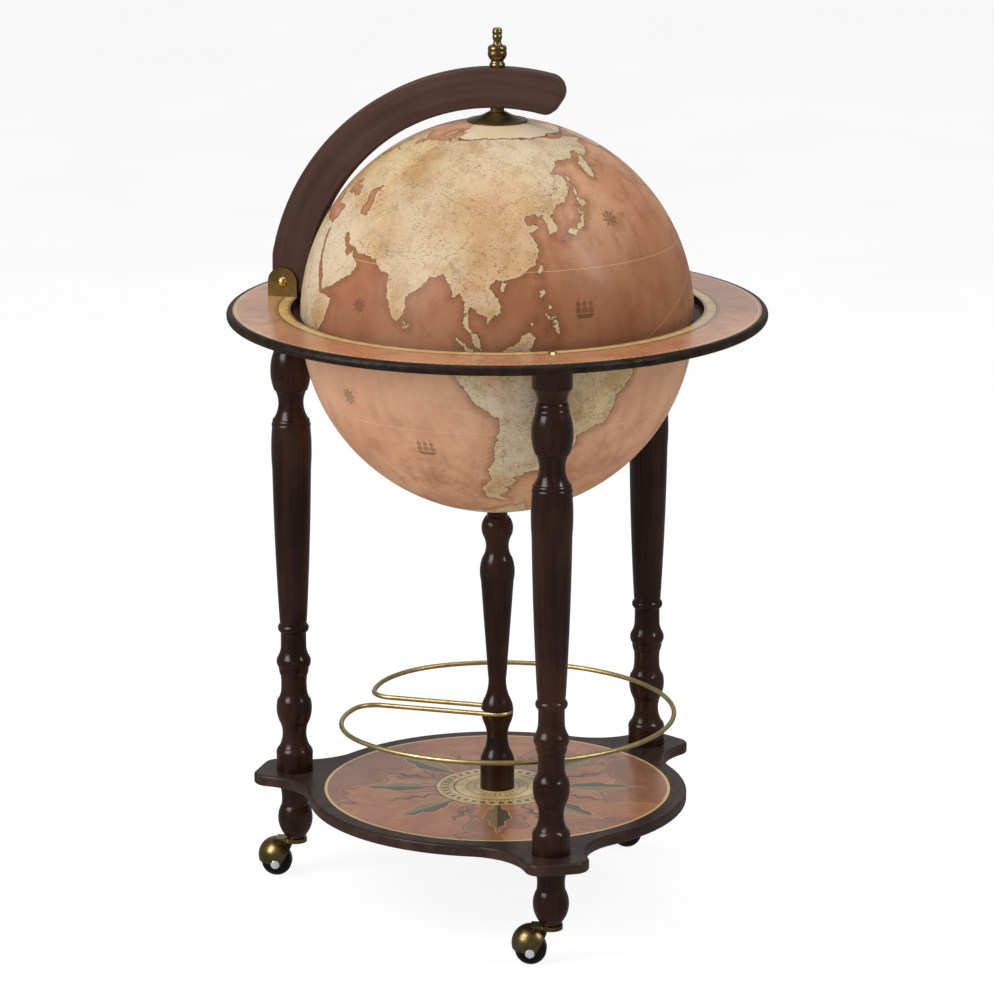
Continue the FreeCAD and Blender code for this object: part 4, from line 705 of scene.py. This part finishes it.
lidPrint = {
    "eclipticStart": 241.6,
    "figures": {      # azimuth, latitude and size of each
        inkRose: ((240, 37, 1.6), (152, 11, 1.3), (48, 32, 1.8)),
        inkShip: ((222, 12, 1.9), (298, 22, 2.1)),
    },
    # painted shading: the lid's sea darker towards the equator, at its bottom
    "paintedShading": {"from": (46, 10), "to": tone(138, 86, 57), "share": 0.6},
    "tints": (((176, 40), 95, "tan", 0.32), ((198, 41), 62, "rose", 0.4), ((136, 24), 70, "pale", 0.7)),
    "iceCap": {"lat": 71.4, "middle": 220.5, "turn": 0.38},
}
bowlPrint = {
    "eclipticStart": 60.6,
    "figures": {
        inkRose: ((146, -16, 1.5), (0, -36, 1.8)),
        inkShip: ((172, -30, 1.9), (62, -20, 2.1)),
    },
    # painted shading: the bowl's sea lighter towards the rim, at its top
    "paintedShading": {"from": (-45, -8), "to": tone(214, 168, 134), "share": 0.5},
    "tints": (), "iceCap": None,
}
lidMap = makeMap("lidMap", globe["lidMid"], **lidPrint)
bowlMap = makeMap("bowlMap", globe["bowlMid"], **bowlPrint)
lidShell = makeGlobeHalf("lidShell", globe["lidMid"], 1, globe["lidHole"], globe["lidTurn"],
                         (lidMap, lining, rimWood))
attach(lidShell, "lid")
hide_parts("upper_globe")
bowlShell = makeGlobeHalf("bowlShell", globe["bowlMid"], -1, globe["bowlHole"], globe["bowlTurn"],
                          (bowlMap, lining, rimWood))
flange = {"inner": 0.197, "outer": 0.218, "thick": 0.0025, "soft": 0.0004, "segments": 240}
base = globe["bowlMid"]
top = base + flange["thick"]
bowlFlange = spun("bowlFlange", [
    (flange["inner"], base), (flange["outer"], base), (flange["outer"], top - flange["soft"]),
    (flange["outer"] - flange["soft"], top), (flange["inner"] + flange["soft"], top),
    (flange["inner"], top - flange["soft"]),
], flange["segments"])
bowlFlange.data.materials.append(rimWood)
for piece in (bowlShell, bowlFlange):
    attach(piece, "stand")
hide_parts("lower_globe")
print("globe halves made")

ring = {      # radii in millimetres, with how soft each edge is
    "scale": (211.5, 222.5, 0.3), "lines": ((211.8, 0.7), (222.9, 0.8), (225.2, 0.3)),
    "ticks": (219.5, 222.4, 0.1), "longTicks": (216, 222.4, 0.1), "checks": (213, 214.2, 0.1),
    "faint": (230, 258, 2), "spokes": (226, 262, 0.4), "dashes": (264.7, 266.1, 0.2),
    "edge": (268.2, 268.8), "inside": (210.2, 210.6), "under": (0.6272, 0.6274),
}


def makeRingPrint():
    # aged paper with a cream scale, on a board with dark edges
    material, place, shader = newFinish("ringPrint", Coat_Roughness=0.2, Specular_IOR_Level=0.1)
    radius, turn = polar(place)
    height = place.parts()[2]
    ground = agedPaper(place, tone(160, 100, 64), tone(190, 132, 92), tone(206, 152, 112), sea["stain"])
    cream = place.noise(60, 4).step(0.35, 0.7).mix(tone(224, 196, 134), tone(206, 170, 104))
    colour = radius.band(*ring["scale"]).mix(ground, cream)
    for middle, width in ring["lines"]:
        colour = (radius.near(middle, width, 0.4) * 0.8).mix(colour, tone(96, 66, 34))
    ticks = beat(turn, 360).step(0.4, 0.44) * radius.band(*ring["ticks"])
    longTicks = beat(turn, 36).step(0.485, 0.49) * radius.band(*ring["longTicks"])
    checks = (beat(turn, 72) > 0.25) * radius.band(*ring["checks"])
    colour = ((ticks + longTicks + checks).math("MINIMUM", 1.0) * 0.5).mix(colour, tone(112, 78, 42))
    faint = place.noise(150, 4, 0.7).step(0.6, 0.68) * radius.band(*ring["faint"])
    colour = (faint * 0.35).mix(colour, sea["stain"])
    spokes = beat(turn, 12).step(0.4965, 0.4985) * radius.band(*ring["spokes"])
    colour = (spokes * 0.35).mix(colour, land["ink"])
    dashes = (beat(turn, 220) > 0.22) * radius.band(*ring["dashes"])
    colour = (dashes * 0.8).mix(colour, tone(236, 210, 168))
    edge = radius.step(*ring["edge"])
    inside = 1 - radius.step(*ring["inside"])
    under = 1 - height.step(*ring["under"])
    dark = edge.math("MAXIMUM", under).math("MAXIMUM", inside)
    colour = dark.mix(colour, place.noise(90, 4).step(0.3, 0.8).mix(tone(30, 21, 15), tone(48, 36, 28)))
    place.feed(shader.inputs["Base Color"], colour)
    place.feed(shader.inputs["Roughness"], 0.32 + place.noise(40, 3) * 0.12 + dark * 0.08)
    place.feed(shader.inputs["Coat Weight"], 0.9 - dark * 0.82)
    place.feed(shader.inputs["Normal"], relief(place.noise(450, 3), 0.00015, 0.12))
    return material


shelf = {      # radii in millimetres
    "border": 178.5, "under": (0.1164, 0.1166), "disc": 64,
    "circles": ((64, 0.7), (58.8, 0.35), (51.5, 0.35), (45, 0.8), (32, 0.4), (23.5, 0.4)),
    "blocks": (52.6, 57.8, 0.2), "ticks": (45.5, 50.5, 0.2), "spokes": (24, 31.5, 0.2),
    "rays": (
        {"lean": 38.5, "knee": 96, "tip": 138, "width": 5.5, "wave": 2.6, "scallop": 0, "rim": 0.8,
         "edge": tone(176, 138, 84), "bright": tone(120, 84, 60), "dim": tone(88, 62, 46)},
        {"lean": 16, "knee": 98, "tip": 152, "width": 16, "wave": 0, "scallop": 1.5, "rim": 1.5,
         "edge": tone(206, 168, 104), "bright": tone(132, 118, 88), "dim": tone(66, 62, 52)},
    ),
}


def makeShelfPrint():
    # aged paper with a rose round the column, on a board with a dark margin
    material, place, shader = newFinish("shelfPrint", Coat_Roughness=0.2, Specular_IOR_Level=0.15)
    radius, turn = polar(place)
    x, y, height = place.parts()
    x, y = x * 1000, y * 1000
    colour = agedPaper(place, tone(150, 90, 60), tone(180, 118, 82), tone(198, 142, 106), sea["stain"])
    coastline = place.noise(8, 3, 0.5)
    colour = (coastline.step(0.5, 0.53) * 0.5).mix(colour, tone(122, 82, 68))
    colour = ((1 - abs(coastline - 0.5).step(0.003, 0.01)) * 0.5).mix(colour, tone(88, 56, 44))
    gold, cream, ink = tone(206, 168, 100), tone(232, 206, 150), tone(62, 52, 42)
    for rays in shelf["rays"]:
        lean = math.radians(rays["lean"])
        ahead = x * math.cos(lean) + y * math.sin(lean)
        aside = y * math.cos(lean) - x * math.sin(lean)
        ray, half, inset = star(ahead, aside, 8, shelf["disc"], rays["knee"], rays["tip"], rays["width"],
                                rays["wave"], rays["scallop"])
        colour = (ray * 0.95).mix(colour, rays["edge"])
        core = ray * inset.step(rays["rim"], rays["rim"] + 0.5)
        colour = (core * 0.9).mix(colour, half.mix(rays["bright"], rays["dim"]))
    disc = 1 - radius.step(shelf["disc"], shelf["disc"] + 0.5)
    colour = disc.mix(colour, place.noise(70, 4).step(0.35, 0.7).mix(cream, gold))
    for middle, width in shelf["circles"]:
        colour = (radius.near(middle, width, 0.3) * 0.85).mix(colour, ink)
    blocks = (beat(turn, 36) > 0.22) * radius.band(*shelf["blocks"])
    ticks = beat(turn, 72).step(0.43, 0.45) * radius.band(*shelf["ticks"])
    spokes = beat(turn, 32).step(0.4, 0.43) * radius.band(*shelf["spokes"])
    colour = ((blocks + ticks + spokes).math("MINIMUM", 1.0) * 0.8).mix(colour, ink)
    colour = radius.near(shelf["border"], 1.4, 0.4).mix(colour, tone(226, 190, 124))
    margin = radius.step(shelf["border"] + 1.2, shelf["border"] + 1.6)
    under = 1 - height.step(*shelf["under"])
    dark = margin.math("MAXIMUM", under)
    grain = place.noise(60, 4, 0.6, (0.08, 1, 1))
    colour = dark.mix(colour, grain.step(0.3, 0.75).mix(tone(46, 32, 27), tone(70, 50, 42)))
    place.feed(shader.inputs["Base Color"], colour)
    place.feed(shader.inputs["Roughness"], 0.3 + place.noise(40, 3) * 0.14 + dark * 0.08)
    place.feed(shader.inputs["Coat Weight"], 0.7 - dark * 0.5)
    place.feed(shader.inputs["Normal"], relief(place.noise(450, 3), 0.00015, 0.12))
    return material


def makeFelt():
    material, place, shader = newFinish("trayFelt", Sheen_Weight=0.06, Sheen_Roughness=0.5,
                                        Specular_IOR_Level=0.1)
    fibre = place.noise(1500, 3, 0.7)
    cloud = place.noise(22, 4)
    colour = cloud.step(0.3, 0.7).mix(tone(58, 30, 22), tone(78, 42, 30))
    colour = (fibre.step(0.5, 0.75) * 0.4).mix(colour, tone(104, 66, 48))
    place.feed(shader.inputs["Base Color"], colour)
    place.feed(shader.inputs["Roughness"], 0.75 + fibre * 0.2)
    place.feed(shader.inputs["Normal"], relief(fibre, 0.0004, 0.4))
    return material


ringPrint = makeRingPrint()
shelfPrint = makeShelfPrint()
felt = makeFelt()
finishes = {
    "horizon_ring": ringPrint, "shelf": shelfPrint, "tray_top": felt, "tray_floor": felt,
    "lid_arm": armWood, "centre_column": darkWood, "column_pad": darkWood,
    "pole_cap": darkBrass, "hinge_bracket": darkBrass, "pole_spacer": darkBrass,
    "bottle_rail": railBrass, "bolt_caps": capBrass, "hinge_pin": pinBrass,
}
steelNodes = ("leg_studs", "leg_bolts", "flange_screws", "column_screws", "bracket_screws", "pole_rod",
              "rod_washer", "rod_nut")
for name, node in nodes.items():
    if name in finishes:
        finish = finishes[name]
    elif name.startswith(("leg_back", "leg_left", "leg_right", "foot_")):
        finish = darkWood
    elif name.endswith("_wheel"):
        finish = rubber
    elif name.endswith("_axle"):
        finish = axleCap
    elif name.endswith("_stem") or name in steelNodes:
        finish = steel
    else:
        finish = brass
    for slot in node.material_slots:
        slot.material = finish
    if not node.material_slots:
        node.data.materials.append(finish)
print("CAD nodes finished")

trim = {
    "bottle": 0.043, "bottleCircle": 0.058, "bottleAngles": (30, 150, 270),
    "glass": 0.031, "glassCircle": 0.1558, "glassAngles": range(0, 360, 60), "segments": 72,
    "outline": (      # out from the hole's edge and up from the tray
        (-0.0008, -0.0066), (-0.0008, 0.0006), (-0.0002, 0.0014), (0.0024, 0.0014), (0.0032, 0.0004),
        (0.0032, 0), (0.0016, -0.0002), (0, -0.0017), (0, -0.0066),
    ),
}
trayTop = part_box("tray_top")[1].z


def makeTrim(name, radius, circle, angle):
    # a pressed brass edging in one hole of the tray
    angle = math.radians(angle)
    centre = (circle * math.cos(angle), circle * math.sin(angle))
    profile = [(radius + out, trayTop + up) for out, up in trim["outline"]]
    piece = spun(name, profile, trim["segments"], centre)
    piece.data.materials.append(brass)
    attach(piece, "stand")


for hole in ("bottle", "glass"):
    for number, angle in enumerate(trim[hole + "Angles"], start=1):
        makeTrim(f"{hole}Trim{number}", trim[hole], trim[hole + "Circle"], angle)
print("tray edged")

studio = {
    "camera": (-4.587, -1.315, 1.652), "pitch": 75.61, "heading": -74, "lens": 173.7, "sensor": 36,
    "left": Vector((-0.2756, 0.9613, 0)), "near": Vector((-0.9613, -0.2756, 0)),
    "softboxes": {      # towards the left, towards the camera, up, width, height, power
        "keyBox": (1.9, 1.3, 1.9, 1.4, 1.8, 52),
        "fillBox": (-2.1, 1.0, 2.3, 0.4, 1.4, 26),
        "topBox": (-0.2, -0.4, 3.2, 2.0, 2.0, 26),
        "backBox": (0, -3.0, 1.4, 3.0, 1.2, 4),
    },
    "aim": Vector((0, 0, 0.5)), "sky": 0.2, "floor": 60,
}


def makeFloor():
    floor = begin("floor", bpy.ops.mesh.primitive_plane_add, size=studio["floor"], location=(0, 0, 0))
    material, place, shader = newFinish("paleFloor", Roughness=0.8, Specular_IOR_Level=0.0,
                                        Emission_Strength=0.9)
    paper = place.noise(3, 2).step(0.2, 0.8)
    place.feed(shader.inputs["Base Color"], paper.mix(tone(122, 122, 122), tone(126, 126, 126)))
    place.feed(shader.inputs["Emission Color"], paper.mix(tone(253, 253, 253), tone(255, 255, 255)))
    floor.data.materials.append(material)
    floor.visible_glossy = False      # keeps the white floor from hazing the dark polish


def addSoftbox(name, left, near, height, wide, tall, power):
    light = bpy.data.lights.new(name, "AREA")
    light.shape = "RECTANGLE"
    light.size = wide
    light.size_y = tall
    light.energy = power
    lamp = bpy.data.objects.new(name, light)
    bpy.context.scene.collection.objects.link(lamp)
    lamp.location = studio["left"] * left + studio["near"] * near + Vector((0, 0, height))
    lamp.rotation_euler = (studio["aim"] - lamp.location).to_track_quat("-Z", "Y").to_euler()


makeFloor()
for name, settings in studio["softboxes"].items():
    addSoftbox(name, *settings)
world = bpy.data.worlds.new("studioSky")
world.use_nodes = True
sky = world.node_tree.nodes["Background"].inputs
sky["Color"].default_value = (1, 1, 1, 1)
sky["Strength"].default_value = studio["sky"]
bpy.context.scene.world = world
lens = bpy.data.cameras.new("photoCamera")
lens.lens = studio["lens"]
lens.sensor_width = studio["sensor"]
lens.clip_end = 100
camera = bpy.data.objects.new("photoCamera", lens)
camera.location = studio["camera"]
camera.rotation_euler = (math.radians(studio["pitch"]), 0, math.radians(studio["heading"]))
bpy.context.scene.collection.objects.link(camera)
bpy.context.scene.camera = camera
bpy.context.scene.view_settings.view_transform = "Standard"
print("studio set")
